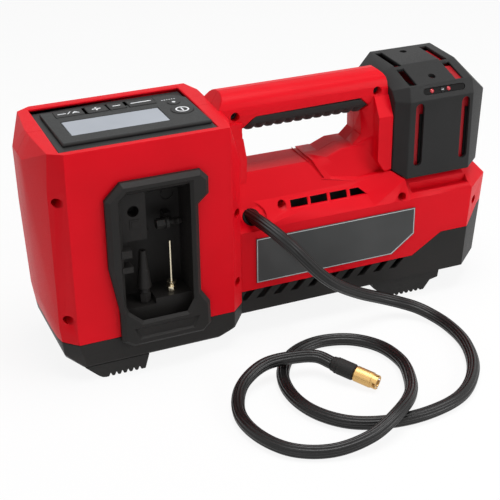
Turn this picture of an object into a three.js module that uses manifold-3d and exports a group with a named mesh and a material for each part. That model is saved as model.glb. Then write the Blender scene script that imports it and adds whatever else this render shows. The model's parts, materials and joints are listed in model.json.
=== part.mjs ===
// Cordless tyre inflator: display head, pump body with carry handle, slide-on battery, air hose.
// Millimetres, +Z up, floor at Z = 0. The shapes are drawn in a bench frame: X = 0 at the corners
// of the head's free end, Y = 0 on the parting plane of the two housing halves, -Y towards the user.
// The whole group is then shifted so that the origin is the middle of the footprint.
import * as THREE from 'three';
import { mergeVertices } from 'three/addons/utils/BufferGeometryUtils.js';
import { ConvexGeometry } from 'three/addons/geometries/ConvexGeometry.js';
import Module from 'manifold-3d';

const wasm = await Module();
wasm.setup();

// ---------------------------------------------------------------- driving dimensions
const GAP = 0.3;          // clearance between touching pieces
const WALL = 3;           // housing wall
const MIDDLE_X = 197.9;   // bench X of the footprint's middle
const MIDDLE_Y = -3.5;    // bench Y of the footprint's middle

const HEAD = {
  left: -12.7, edge: -2, rim: -3.5, right: 156, half: 55, half_end: 43.4,
  face_left: 10, face_right: 144.6,
  base_z: 13.5, split_z: 36, crease_z: 175, top_front_z: 199.6, top_back_z: 203,
};
const BODY = {
  start: 150, half: 41.1, bottom_z: 24, split_z: 44.5, shoulder_z: 100.5, shoulder_top_z: 119,
  side_end: 380, rear: 408.5, rear_half: 16, shoulder_half: 25,
};
const DECK = {
  low_half: 16.5, half: 17, low_foot: 27.4, foot: 24.5, foot_z: 112, low_z: 142.6, mid_z: 143.4,
  high_z: 149, step_x: 229.5, step_foot_x: 249.3, ramp_x: 247, high_x: 261, groove: 1.2,
};
const HANDLE = {
  half: 18, mid_z: 193.7, half_height: 17.7, start: 149, end: 303.6, grip_top_z: 191, grip: 4.2,
};
const PACK = {
  left: 304, right: 396.9, right_low: 394.2, front: 38.8, bottom_z: 119.3, shoulder_z: 189,
  right_z: 185, top_z: 211.5, face_left: 314.4, face_right: 375.8, wall: 2.6, cut: 7.1,
};
const PANEL = { left: 9.5, right: 137, half: 45.5, top_z: 199.2, thick: 3 };
const BEZEL = { left: 15, right: 135.8, front: -37.2, back: 32.6, top_z: 202.4 };
const WINDOW = { left: 26.2, right: 106, front: -22.6, back: 7.6, ledge: 1.5 };
const KEY = { front: 17.4, back: 30.4, low_z: 191, proud: 0.5 };
const BOARD = { z: 186, thick: 1.6, switch_z: 189.8 };
const BAY = {
  face: -62, rim: -55.3, back: -23, wall: 2.4, left: 47.6, right: 111.5, low: 30.5, high: 164.5,
  outer_chamfer: 3.4, mouth_chamfer: 2.6,
};
const SCREW = { head_r: 3.3, hole_r: 4, shank_r: 1.8, seat_y: -9, tip_y: 12 };
const HOSE = {
  r: 5.4, hole: [170.6, -33.1, 109.7], hole_way: [0, -0.755, 0.656], hole_r: 7.8, face_r: 13,
  face_depth: 1.8, plug_depth: 10, plug_top: -0.8, socket_r: 5.8, stub: [170.2, 107], stub_r: 3.4,
  block_r: 14, block_depth: 9,
};
const CONTROL = { left: 22, right: 120, y: 34, thick: 1.6, z0: 54, z1: 146 };
const MOTOR = { plate_x: 241, x0: 247, x1: 309, z: 50, r: 19 };
const GEAR = { x0: 234, x1: 240, z: 71.4, r: 17, pinion_r: 4.1, throw: 5 };
const CYLINDER = { x: 228, r: 12.6, bore_r: 10.6, z0: 92, z1: 128 };

// ---------------------------------------------------------------- finishes
const finish = (color, roughness, metalness = 0) =>
  new THREE.MeshStandardMaterial({ color, roughness, metalness });
const RED = finish(0xd81f2f, 0.45);
const DEEP_RED = finish(0xa80f18, 0.5);
const BLACK = finish(0x2b2b2b, 0.6);
const CHARCOAL = finish(0x3c3d3d, 0.65);
const RUBBER = finish(0x242426, 0.8);
const GLASS = finish(0xaeb3b8, 0.25);
const WHITE = finish(0xe8e8e8, 0.5);
const BRASS = finish(0xc9a25c, 0.35, 1);
const NICKEL = finish(0xcfc6b4, 0.3, 1);
const STEEL = finish(0x8e9094, 0.35, 1);
const ALUMINIUM = finish(0xb4b6b9, 0.45, 1);
const COPPER_GREEN = finish(0x1f5a38, 0.5);
const CELL_BLUE = finish(0x3f6f8f, 0.4);
const NYLON = finish(0xd9d4c4, 0.5);

// ---------------------------------------------------------------- solids
function solid(geometry) {
  const bare = geometry.index ? geometry.toNonIndexed() : geometry.clone();
  bare.deleteAttribute('normal');
  bare.deleteAttribute('uv');
  const merged = mergeVertices(bare, 1e-4);
  const triVerts = Uint32Array.from(merged.index.array);
  const vertProperties = Float32Array.from(merged.attributes.position.array);
  return new wasm.Manifold(new wasm.Mesh({ numProp: 3, vertProperties, triVerts }));
}

const hull = (points) => solid(new ConvexGeometry(points.map((p) => new THREE.Vector3(...p))));
const joined = (list) => list.reduce((whole, piece) => whole.add(piece));
const cut = (whole, list) => list.reduce((rest, tool) => rest.subtract(tool), whole);

function box(x0, x1, y0, y1, z0, z1) {
  const shape = new THREE.BoxGeometry(x1 - x0, y1 - y0, z1 - z0);
  return solid(shape.translate((x0 + x1) / 2, (y0 + y1) / 2, (z0 + z1) / 2));
}

const AXES = {
  x: new THREE.Matrix4().makeBasis(
    new THREE.Vector3(0, 1, 0), new THREE.Vector3(0, 0, 1), new THREE.Vector3(1, 0, 0)),
  y: new THREE.Matrix4().makeBasis(
    new THREE.Vector3(0, 0, 1), new THREE.Vector3(1, 0, 0), new THREE.Vector3(0, 1, 0)),
  z: new THREE.Matrix4(),
};

// Prism along an axis. The outline's two numbers run along the other two axes in the order
// Y, Z for a prism along X, Z, X for one along Y, and X, Y for one along Z.
function prism(axis, outline, from, to, edges = { bevelEnabled: false }) {
  const shape = new THREE.Shape(outline.map((p) => new THREE.Vector2(...p)));
  const run = new THREE.ExtrudeGeometry(shape, { depth: to - from, ...edges }).translate(0, 0, from);
  return solid(run.applyMatrix4(AXES[axis]));
}

const prismX = (outlineYZ, from, to) => prism('x', outlineYZ, from, to);
const prismZ = (outlineXY, from, to) => prism('z', outlineXY, from, to);
const prismY = (outlineXZ, from, to, edges) =>
  prism('y', outlineXZ.map(([x, z]) => [z, x]), from, to, edges);
const chamfer = (size, offset) => ({
  bevelEnabled: true, bevelThickness: size, bevelSize: size, bevelOffset: offset, bevelSegments: 1,
});

// Round bar along an axis through a point given on the other two axes, in X, Y, Z order.
function bar(axis, point, r, from, to, sides = 24, far_r = r) {
  const shape = new THREE.CylinderGeometry(far_r, r, to - from, sides);
  shape.rotateX(Math.PI / 2).translate(0, 0, (from + to) / 2);
  shape.applyMatrix4(AXES[axis]);
  const place = { x: [0, ...point], y: [point[0], 0, point[1]], z: [...point, 0] }[axis];
  return solid(shape.translate(...place));
}

// Round rod between two points, with its own radius at the far end if need be.
function rod(from, to, r, far_r = r, sides = 24) {
  const start = new THREE.Vector3(...from);
  const run = new THREE.Vector3(...to).sub(start);
  const shape = new THREE.CylinderGeometry(far_r, r, run.length(), sides);
  shape.translate(0, run.length() / 2, 0);
  const up = new THREE.Vector3(0, 1, 0);
  shape.applyQuaternion(new THREE.Quaternion().setFromUnitVectors(up, run.normalize()));
  return solid(shape.translate(...from));
}

// Round tube of equal thickness that follows points.
function tube(points, r, steps, sides) {
  const path = new THREE.CatmullRomCurve3(points.map((p) => new THREE.Vector3(...p)));
  const turn = 2 * Math.PI / sides;
  const section = Array.from({ length: sides }, (_, i) =>
    new THREE.Vector2(r * Math.cos(i * turn), r * Math.sin(i * turn)));
  return solid(new THREE.ExtrudeGeometry(new THREE.Shape(section), { steps, extrudePath: path }));
}

const ring = (axis, point, r, bore, from, to, sides = 24) =>
  bar(axis, point, r, from, to, sides).subtract(bar(axis, point, bore, from - 1, to + 1, sides));

const bothSides = (make) => [make(-1), make(1)];

// ---------------------------------------------------------------- scene graph
const group = new THREE.Group();
group.position.set(-MIDDLE_X, -MIDDLE_Y, 0);

function piece(name, shape, material, place = [0, 0, 0], turn = [0, 0, 0]) {
  const { numProp, vertProperties, triVerts } = shape.getMesh();
  const geometry = new THREE.BufferGeometry();
  const places = new Float32Array(vertProperties.length / numProp * 3);
  for (let i = 0; i < places.length / 3; i += 1) {
    places.set(vertProperties.subarray(i * numProp, i * numProp + 3), i * 3);
  }
  geometry.setAttribute('position', new THREE.BufferAttribute(places, 3));
  geometry.setIndex(new THREE.BufferAttribute(Uint32Array.from(triVerts), 1));
  const mesh = new THREE.Mesh(geometry, material);
  mesh.name = name;
  mesh.position.set(...place);
  mesh.rotation.set(...turn);
  group.add(mesh);
  return mesh;
}

// ---------------------------------------------------------------- outer forms
// Head: a tall box whose four upright corners are cut, whose free end swells out in the middle and
// whose top falls a little towards the user. The inset t makes its hollow.
function headHull(t = 0) {
  const points = [];
  for (const side of [-1, 1]) {
    const half = side * (HEAD.half - t);
    const end = side * (HEAD.half_end - t);
    const middle = side * (15 - t);
    const top = (side < 0 ? HEAD.top_front_z : HEAD.top_back_z) - t;
    const top_half = side * (52 - t);
    points.push(
      [4 + t, side * (30 - t), HEAD.base_z + t], [14 + t, half - side * 2, HEAD.base_z + t],
      [15 + t, half, HEAD.base_z + 2 + t], [131 - t, half, HEAD.base_z + 2 + t],
      [130 - t, half - side * 2, HEAD.base_z + t], [HEAD.face_right - t, half, 20.4 + t],
      [HEAD.right - t, end, 25 + t],
      [0.4 + t, end, 23.7 + t], [HEAD.edge + t, end, 50], [HEAD.edge + t, end, 170],
      [HEAD.face_left + t, half, 40], [HEAD.face_left + t, half, HEAD.crease_z],
      [-3.5 + t, middle, 38], [-9 + t, middle, 65], [-12 + t, middle, 140],
      [HEAD.left + t, middle, 186 - t],
      [HEAD.face_right - t, half, HEAD.crease_z],
      [HEAD.right - t, end, HEAD.crease_z - 8], [HEAD.right - t, side * 20, HEAD.crease_z],
      [11 + t, top_half, top], [145 - t, top_half, top], [t, side * (45 - t), top + side * -0.2],
      [HEAD.rim + t, side * 8, top + side * -1.4], [150.5 - t, side * 34, top + side * -0.4],
    );
  }
  return hull(points);
}

const bodyRing = (t, z, end, rear) => [
  [BODY.start, -BODY.half + t, z], [BODY.start, BODY.half - t, z],
  [end - t, -BODY.half + t, z], [end - t, BODY.half - t, z],
  [rear - t, -BODY.rear_half + t * 0.3, z], [rear - t, BODY.rear_half - t * 0.3, z],
];

// Body below the shoulder line: a long block whose two rear corners are cut.
const bodyBlock = (t = 0) => hull([
  ...bodyRing(t, BODY.bottom_z + t, 375, 402), ...bodyRing(t, BODY.shoulder_z, BODY.side_end, BODY.rear),
]);

// Sloping shoulder all round the body, lower under the battery.
function bodyShoulder(t = 0) {
  const rear_z = 116 - t;
  const ridge_z = BODY.shoulder_top_z - t * 0.4;
  const narrow = BODY.shoulder_half - t * 0.6;
  return joined([
    hull([
      ...bodyRing(t, BODY.shoulder_z, 300, 303),
      [BODY.start, -narrow, ridge_z], [BODY.start, narrow, ridge_z],
      [302, -narrow, ridge_z], [302, narrow, ridge_z],
    ]),
    hull([
      ...bodyRing(t, BODY.shoulder_z, BODY.side_end, BODY.rear).slice(2),
      [290, -BODY.half + t, BODY.shoulder_z], [290, BODY.half - t, BODY.shoulder_z],
      [290, -26.6, rear_z], [290, 26.6, rear_z],
      [375 - t, -26.6, rear_z], [375 - t, 26.6, rear_z],
      [394.5 - t, -9.6, rear_z], [394.5 - t, 9.6, rear_z],
    ]),
  ]);
}

// Deck under the handle: a narrow ridge with a small slanting step, rising towards the rear post.
function deck(t = 0) {
  const section = (z, half, foot, x, foot_x) => [-1, 1].flatMap((side) => [
    [x, side * (half - t), z - t], [foot_x, side * (foot - t), DECK.foot_z],
  ]);
  const low = [DECK.low_z, DECK.low_half, DECK.low_foot];
  const high = [DECK.mid_z, DECK.half, DECK.foot];
  const end = HANDLE.end - t;
  return joined([
    hull([
      ...section(...low, BODY.start, BODY.start), ...section(...low, DECK.step_x + 9, DECK.step_foot_x + 9),
    ]),
    hull([...section(...high, DECK.step_x + t, DECK.step_foot_x + t), ...section(...high, end, end)]),
    hull([-1, 1].flatMap((side) => [
      [DECK.ramp_x, side * (DECK.half - t), DECK.mid_z - t],
      [DECK.high_x, side * (DECK.half - t), DECK.high_z - t],
      [end, side * (DECK.half - t), DECK.high_z - t], [DECK.ramp_x, side * 20, 125], [end, side * 20, 125],
    ])),
  ]);
}

// Groove down the deck's step.
const deckGroove = () => prismY([[227.8, 147], [231, 147], [242.8, 127.2], [239.6, 127.2]], -30, 30)
  .subtract(deck(DECK.groove));

// Facets that run from the foot of the step down to the shoulder and on to the battery.
const deckLedge = () => joined([
  hull([-1, 1].flatMap((side) => [
    [240, side * 20.5, 129], [240, side * 22.4, 126.3], [240, side * 25, 118.6], [240, side * 15, 116],
    [279, side * 22.4, 121.9], [270, side * 24.7, 119.6], [279, side * 25.2, 118.6], [279, side * 15, 116],
  ])),
  hull([277, 308].flatMap((x) => [-1, 1].flatMap((side) => [
    [x, side * 22.4, 121.9], [x - (x < 280 ? 8 : 0), side * 25.2, 118.6], [x, side * 25.2, 114],
  ]))),
]);

function handleSection(inset = 0) {
  const half = HANDLE.half - inset;
  const height = HANDLE.half_height - inset;
  const flatness = 2.5;
  const corners = 24;
  return Array.from({ length: corners }, (_, i) => {
    const turn = i / corners * 2 * Math.PI;
    const along = Math.sign(Math.cos(turn)) * Math.abs(Math.cos(turn)) ** (2 / flatness);
    const up = Math.sign(Math.sin(turn)) * Math.abs(Math.sin(turn)) ** (2 / flatness);
    return [half * along, HANDLE.mid_z + height * up];
  });
}

const handleBar = () => prismX(handleSection(), HANDLE.start, HANDLE.end).intersect(prismY([
  [148, 199], [156, 212], [296, 212], [299.6, 211], [302.4, 208.2], [303.4, 204.4], [303.6, 170],
  [148, 170],
], -30, 30));

const frontPost = (t = 0) => prismY([
  [150, 114], [164 - t, 114], [172 - t, 138], [172.5 - t, 156], [168.5 - t, 180], [168.5 - t, 188],
  [150, 188],
], -19.5 + t, 19.5 - t);

// Post under the handle's rear end, splayed at its foot, with a flange that meets the battery.
function rearPost(t = 0) {
  const end = HANDLE.end - t;
  const level = (z, front, wide_x, narrow, wide, rear) => [-1, 1].flatMap((side) => [
    [front + t, side * (narrow - t), z], [wide_x + t, side * (wide - t), z], [end, side * (rear - t), z],
  ]);
  const flange = [[303, 22.5, 120.5 + t], [296, 29.4, 127.5 + t], [290, 29.4, 137], [290, 29.4, 176],
    [290, 19.6, 192 - t]];
  return joined([
    hull([...level(150, 281, 290, 12, 20, 20), ...level(198, 281, 290, 12, 18, 18)]),
    hull([
      ...level(118, 268, 283, 15, 20.7, 22.4), ...level(146, 271, 284, 14, 20.4, 21),
      ...level(157, 281, 290, 12, 20, 20),
    ]),
    hull(flange.flatMap(([x, half, z]) => [-1, 1].flatMap((side) => [
      [x + t, side * (half - t), z], [end, side * (half - t), z],
    ]))),
  ]);
}

// A point that lies some way along a line from a start in a direction.
const along = (start, way, distance) => start.map((value, i) => value + way[i] * distance);

// Rod square to the shoulder's slope round the point that the hose leaves by.
const holeRod = (r, from, to, sides = 28) =>
  rod(along(HOSE.hole, HOSE.hole_way, from), along(HOSE.hole, HOSE.hole_way, to), r, r, sides);

// Shallow round seat that is sunk into the shoulder about the hose's hole and runs on to the head.
const hoseSeat = () => hull([0, -16].flatMap((shift) => [-HOSE.face_depth, 14].flatMap((height) =>
  Array.from({ length: 24 }, (_, i) => i / 12 * Math.PI).map((turn) => {
    const [x, y, z] = along(HOSE.hole, HOSE.hole_way, height);
    const up = HOSE.face_r * Math.sin(turn);
    return [x + shift + HOSE.face_r * Math.cos(turn), y + up * HOSE.hole_way[2], z - up * HOSE.hole_way[1]];
  })))).subtract(deck()).subtract(headHull()).intersect(box(HEAD.right - 2, 200, -60, -20, 90, 130));

// Collar that carries the shoulder up to the cut lower edge of the battery.
const packCollar = () => joined(bothSides((side) => hull([
  [272, side * 22.4, 121.9], [272, side * 25.2, 118.6], [283, side * 40.9, 100.7],
  [318, side * 40.9, 100.7], [303.6, side * 29.4, 125.6], [303.6, side * 22, 125.6],
  [313.2, side * 37.4, 119.2], [313.2, side * 25, 116], [300, side * 22, 116],
])));

const packRing = (t, z, right, right_z, left_z = z) => bothSides((side) => [
  [PACK.left + t, side * (30 - t), left_z], [PACK.face_left + t * 0.4, side * (PACK.front - t), z],
  [PACK.face_right - t * 0.4, side * (PACK.front - t), z], [right - t, side * (22.2 - t * 0.4), right_z],
]).flat();

// Battery: an upright block with cut corners, its top sloping on all sides and its lower edge cut
// off along the post. The inset t makes its hollow, which is open below the height floor_z.
const packHull = (t = 0, floor_z = PACK.bottom_z) => hull([
  ...packRing(t, floor_z, PACK.right_low, floor_z, floor_z + PACK.cut),
  ...packRing(t, PACK.shoulder_z, PACK.right, PACK.right_z),
  [PACK.left + t, -24, 197 - t], [PACK.left + t, 38 - t, 198.3 - t], [PACK.left + t, -2, 204 - t],
  ...[316 + t * 0.4, 377 - t * 0.4].flatMap((x) => [
    [x, -33 + t * 0.5, 201 - t], [x, -2, PACK.top_z - 1.2 - t], [x, PACK.front - t, PACK.top_z - t],
  ]),
]);

// ---------------------------------------------------------------- screws of the housing halves
// Each one sinks along +Y into a deep counterbore of the front half.
const SCREWS = [
  ['head_left_top', 4, 160.5], ['head_left_low', 4.8, 58.5],
  ['head_right_top', 150.3, 123.4], ['head_right_low', 149.5, 60.8],
  ['shoulder_front', 199.5, 113], ['shoulder_rear', 309.5, 104.3],
  ['handle_front', 163.2, 193.4], ['handle_rear', 293.5, 196.2],
  ['rear_corner', 388, 84],
];

// ---------------------------------------------------------------- housing halves
const skirtProfile = [
  [140, 0], [140, BODY.split_z], [322, BODY.split_z], [350.7, 62.5], [379, 62.5], [398, 74],
  [420, 74], [420, 0],
];

function ventSlots() {
  const first_x = 207.2;
  const pitch = 18.6;
  const low_z = 109.8;
  const high_z = 115.2;
  const slots = [0, 1, 2, 3].map((i) => {
    const x = first_x + i * pitch;
    const high_x = i < 3 ? x + 16.8 : x + 9.4;
    return [[x, low_z], [x + 15.8, low_z], [high_x, high_z], [x + 1, high_z]];
  });
  return slots.flatMap((outline) => bothSides((side) =>
    prismY(outline, side < 0 ? -50 : 20, side < 0 ? -20 : 50)));
}

function housingOuter() {
  return joined([
    headHull(), bodyBlock(), bodyShoulder(), deck(), deckLedge(), packCollar(), frontPost(), rearPost(),
    handleBar(),
  ]).subtract(deckGroove()).subtract(hoseSeat());
}

function housingInner() {
  const into_head = box(BODY.start - 6, BODY.start + 8, -30, 30, 50, 110);
  return joined([
    headHull(WALL), bodyBlock(WALL), bodyShoulder(WALL), deck(WALL), rearPost(WALL), into_head,
  ]);
}

const handleHollow = () => joined([
  prismX(handleSection(7), 170, 284), frontPost(WALL).intersect(box(157, 180, -30, 30, 100, 178)),
]);

// All that belongs to the two red halves: what is above the black lower shells.
const redRegion = () => joined([
  box(-20, HEAD.right + GAP + 0.1, -80, 80, HEAD.split_z + GAP, 230),
  box(HEAD.right + GAP, 430, -80, 80, 0, 230),
]);

const gripRegion = (grow = 0) => prismY([
  [169 - grow, 174], [169 - grow, 179], [181 - grow, HANDLE.grip_top_z + grow],
  [278 + grow, HANDLE.grip_top_z + grow], [286 + grow, 184 + grow], [280.4 + grow, 178],
  [280.4 + grow, 174],
], -30, 30);

function housing() {
  const bosses = SCREWS.map(([, x, z]) => bar('y', [x, z], 6, -50, 50, 14));
  const posts = joined(bosses).intersect(headHull(1).add(bodyBlock(1)).add(bodyShoulder(1)).add(rearPost()));
  const head_panel = box(PANEL.left - GAP, PANEL.right + GAP, -PANEL.half - GAP, PANEL.half + GAP,
    PANEL.top_z - PANEL.thick - GAP, 230);
  const display_well = box(PANEL.left + 4, PANEL.right - 4, -PANEL.half + 4, PANEL.half - 4, 180, 230);
  const bay_hole = box(BAY.left - GAP, BAY.right + GAP, -80, -30, BAY.low - GAP, BAY.high + GAP);
  const pockets = bothSides((side) => prismY([[321, 104.6], [378, 104.6], [378, 125], [321, 125]],
    side < 0 ? -60 : 31, side < 0 ? -31 : 60));
  const backing = [
    box(277, 289, -30, 30, 171, 193),
    ...bothSides((side) => box(317, 382, side < 0 ? -50 : 27.5, side < 0 ? -27.5 : 50, 101.6, 120)),
  ];
  const terminal_hole = box(318, 352, -15 - GAP, 15 + GAP, 105, 130);
  const board_posts = joined([[30, 62], [112, 62], [30, 138], [112, 138]].map(([x, z]) =>
    bar('y', [x, z], 3.5, CONTROL.y + CONTROL.thick + GAP, 54, 12)));
  const gland_block = holeRod(HOSE.block_r, -HOSE.block_depth, 0, 14);
  const core = cut(cut(housingInner(), [posts, board_posts, gland_block]).add(handleHollow()), backing);
  const shell = cut(housingOuter(), [
    core, head_panel, display_well, bay_hole, ...pockets, terminal_hole, ...ventSlots(),
    prismY(skirtProfile.map(([x, z]) => [x, z + (z > 0 ? GAP : 0)]), -80, 80)
      .intersect(box(156, 430, -80, 80, -1, 200)),
    gripRegion(GAP).subtract(prismX(handleSection(HANDLE.grip + GAP), 160, 290)),
    holeRod(HOSE.hole_r, -HOSE.plug_depth - GAP, 20),
    bar('y', HOSE.stub, HOSE.stub_r + GAP, -28, -10, 16),
  ]);
  return shell.intersect(redRegion());
}

const screwHoles = () => SCREWS.flatMap(([, x, z]) => [
  bar('y', [x, z], SCREW.hole_r, -60, SCREW.seat_y, 16),
  bar('y', [x, z], SCREW.shank_r + GAP, -60, SCREW.tip_y + 2, 8),
]);

const whole_housing = housing();
const front_space = box(-30, 430, -80, -0.15, 0, 240);
const back_space = box(-30, 430, 0.15, 80, 0, 240);
piece('housing_front', cut(whole_housing.intersect(front_space), screwHoles()), RED);
piece('housing_back', cut(whole_housing.intersect(back_space), screwHoles()), RED);

for (const [name, x, z] of SCREWS) {
  const head = bar('y', [x, z], SCREW.head_r, SCREW.seat_y - 3.4, SCREW.seat_y - GAP, 14);
  const shank = bar('y', [x, z], SCREW.shank_r, SCREW.seat_y - 1, SCREW.tip_y, 8);
  const socket = bar('y', [x, z], 1.5, SCREW.seat_y - 4, SCREW.seat_y - 1.6, 6);
  piece(`screw_${name}`, head.add(shank).subtract(socket), STEEL);
}

// ---------------------------------------------------------------- lower shells and feet
const FEET = [
  ['foot_head_front', -53, -33, 'head'], ['foot_head_back', 33, 53, 'head'],
  ['foot_body_front', -30, -12, 'body'], ['foot_body_back', 12, 30, 'body'],
];
const FOOT_FORMS = {
  head: {
    outline: [[14, 13.2], [25, 2.6], [28, 0.6], [31, 0], [65, 0], [69, 13.2]], teeth: [33, 65],
    peg: [40, 13.2],
  },
  body: {
    outline: [[288, 23.7], [291, 12], [305, 0], [343, 0], [349.5, 8.5], [357.5, 10], [359.5, 23.7]],
    teeth: [306, 343], peg: [324, 23.7],
  },
};

function foot(y0, y1, kind) {
  const { outline, teeth, peg } = FOOT_FORMS[kind];
  const tooth_pitch = 5;
  const notches = [];
  for (let x = teeth[0]; x < teeth[1] - 2; x += tooth_pitch) {
    notches.push(prismY([[x, -1], [x + 1.9, 3.2], [x + 3.8, -1]], y0 - 1, y1 + 1));
  }
  const stud = bar('z', [peg[0], (y0 + y1) / 2], 4, peg[1] - 1, peg[1] + 2.6, 12);
  return cut(prismY(outline, y0, y1), notches).add(stud);
}

const pegHoles = FEET.map(([, y0, y1, kind]) => {
  const { peg } = FOOT_FORMS[kind];
  return bar('z', [peg[0], (y0 + y1) / 2], 4 + GAP, peg[1] - 1, peg[1] + 6, 12);
});

const headBase = headHull()
  .intersect(box(-20, HEAD.right, -80, 80, 0, HEAD.split_z))
  .subtract(headHull(WALL))
  .subtract(box(BAY.left - GAP, BAY.right + GAP, -80, -30, BAY.low - GAP, 60));
piece('head_base', cut(headBase, pegHoles.slice(0, 2)), BLACK);

// Slanting slots along the skirt's upper edge, open at the top; the head's corner cuts the first one.
function louvres() {
  const first_x = 154.1;
  const pitch = 16.1;
  const width = 7.2;
  const lean = 9;
  const low_z = 36;
  const slots = Array.from({ length: 10 }, (_, i) => first_x + i * pitch).flatMap((x) => {
    const outline = [[x, low_z], [x + width, low_z], [x + width + lean, BODY.split_z + 1],
      [x + lean, BODY.split_z + 1]];
    return bothSides((side) => prismY(outline, side < 0 ? -60 : 30, side < 0 ? -30 : 60));
  });
  return joined(slots).intersect(box(158, 330, -80, 80, 0, 60));
}

const skirt = bodyBlock()
  .intersect(prismY(skirtProfile, -80, 80))
  .intersect(box(BODY.start + 6.3, 430, -80, 80, 0, 100));
const bodyBase = cut(skirt, [bodyBlock(WALL), louvres(), ...pegHoles.slice(2)]);
piece('body_base', bodyBase, BLACK);
for (const [name, y0, y1, kind] of FEET) {
  piece(name, foot(y0, y1, kind), RUBBER);
}

// ---------------------------------------------------------------- accessory bay
const trayOutline = [
  [51, 172], [44, 165], [38, 159], [38, 100], [45, 60], [45, 33], [54, 27], [115, 27], [122, 34],
  [121.5, 54.5], [114, 66], [114, 143], [123, 151], [123, 165], [116.5, 172],
];
const trayMouth = [
  [50, 157], [56, 163], [107, 163], [107, 60], [101, 50], [63, 50], [52, 60], [50, 66],
];
const NEEDLE = { x: 94.5, y: -42, seat_z: 61.7 };
const NOZZLE = { x: 71, y: -42, seat_z: 57 };
const ADAPTER = { y: -40, z: 123, from: 84, to: 106 };

function accessoryBay() {
  const { face, rim, back, wall, left, right, low, high } = BAY;
  const inner_left = left + wall;
  const inner_right = right - wall;
  const inner_back = back - wall;
  const cavity = box(inner_left, inner_right, face + wall, inner_back, low + wall, high - wall);
  const { outer_chamfer, mouth_chamfer } = BAY;
  const plate = prismY(trayOutline, face + outer_chamfer, rim, chamfer(outer_chamfer, -outer_chamfer))
    .intersect(box(0, 160, face, rim, 0, 200));
  const tray = plate.add(box(left, right, rim - 1, back, low, high));
  const mouth = prismY(trayMouth, face - 1, face + wall + 1)
    .add(prismY(trayMouth, face - 20, face, chamfer(mouth_chamfer, 0)));
  const hollow = cut(cavity.add(mouth), [
    box(78, inner_right + 1, -50, back, low, NEEDLE.seat_z),
    box(inner_left - 1, 78, -50, back, low, NOZZLE.seat_z),
    box(inner_left - 1, 75, -44, back, 114, high),
    hull([[40, face + wall, high], [120, face + wall, high], [40, -40, high], [120, -40, high],
      [40, -40, 152], [120, -40, 152]]),
    box(93, 99, ADAPTER.y + 5.8, back, ADAPTER.z - 5, ADAPTER.z + 5),
    box(inner_left - 2, 56.5, face, -52, 109, 115.5), box(inner_left - 2, 57, face, -52, 96, 101),
  ]);
  return cut(tray, [
    hollow,
    bar('y', [64.6, 139.6], 4.8, -46, -34, 20),
    ring('y', [99, 142], 6, 4.4, inner_back - 0.1, inner_back + 1, 24),
    hull([[54, face - 1, 45.5], [112, face - 1, 45.5], [59, face - 1, 33], [107, face - 1, 33],
      [57, face + 1.8, 43], [109, face + 1.8, 43], [61, face + 1.8, 35.5], [105, face + 1.8, 35.5]]),
  ]);
}
piece('accessory_bay', accessoryBay(), BLACK);

const needle_place = [NEEDLE.x, NEEDLE.y];
const needle_z = NEEDLE.seat_z + GAP;
piece('ball_needle', joined([
  bar('z', needle_place, 4.2, needle_z, needle_z + 4.5, 6),
  bar('z', needle_place, 2.4, needle_z + 4, needle_z + 6, 12),
  bar('z', needle_place, 2.4, needle_z + 5.9, needle_z + 8.4, 12, 4.2),
  bar('z', needle_place, 1.1, needle_z + 8, needle_z + 46, 10),
]), NICKEL);

const nozzle_place = [NOZZLE.x, NOZZLE.y];
piece('cone_nozzle', joined([
  bar('z', nozzle_place, 5.2, NOZZLE.seat_z + GAP, 66, 6),
  bar('z', nozzle_place, 4.2, 65.9, 70, 20),
  bar('z', nozzle_place, 6, 69.9, 103.5, 20, 3.1),
]).subtract(bar('z', nozzle_place, 1.4, 80, 105, 10)), BLACK);

const adapter_place = [ADAPTER.y, ADAPTER.z];
piece('valve_adapter', joined([
  bar('x', adapter_place, 4.6, ADAPTER.from, ADAPTER.from + 8, 6),
  bar('x', adapter_place, 5.5, ADAPTER.from + 7, ADAPTER.from + 10.5, 20),
  bar('x', adapter_place, 2.6, ADAPTER.from + 10.4, ADAPTER.to, 16),
  bar('x', adapter_place, 3.4, 98, 100.5, 16),
]), BLACK);

// ---------------------------------------------------------------- display and keys
const KEYS = [
  ['key_units', 25, 48.7], ['key_plus', 51.2, 68], ['key_minus', 69.8, 83.5], ['key_preset', 86.1, 108.9],
];
const ROUND_KEYS = [['light_button', 121.8, 12.9, 5.25], ['power_button', 122.5, -5.7, 9.3]];
const panel_low_z = PANEL.top_z - PANEL.thick;
const bezel_low_z = PANEL.top_z + GAP;
const key_top_z = BEZEL.top_z + KEY.proud;
const board_top_z = BOARD.z + BOARD.thick;

const windowBlock = (grow, z0, z1) => box(WINDOW.left - grow, WINDOW.right + grow,
  WINDOW.front - grow, WINDOW.back + grow, z0, z1);
const keyBlock = ([, x0, x1], grow, z0, z1) =>
  box(x0 - grow, x1 + grow, KEY.front - grow, KEY.back + grow, z0, z1);
const roundKey = ([, x, y, r], grow, z0, z1) => bar('z', [x, y], r + grow, z0, z1, 28);
const keyHoles = () => [
  ...KEYS.map((key) => keyBlock(key, GAP, panel_low_z - 1, 210)),
  ...ROUND_KEYS.map((key) => roundKey(key, GAP, panel_low_z - 1, 210)),
];

const panel_posts = [[21, -36], [21, 36], [126, -36], [126, 36]].map((place) =>
  bar('z', place, 3, board_top_z + GAP, panel_low_z + 1, 12));
const panel_plate = box(PANEL.left, PANEL.right, -PANEL.half, PANEL.half, panel_low_z, PANEL.top_z);
piece('display_panel', cut(joined([panel_plate, ...panel_posts]), [
  ...keyHoles(), windowBlock(-WINDOW.ledge, 190, 210),
]), CHARCOAL);

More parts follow.
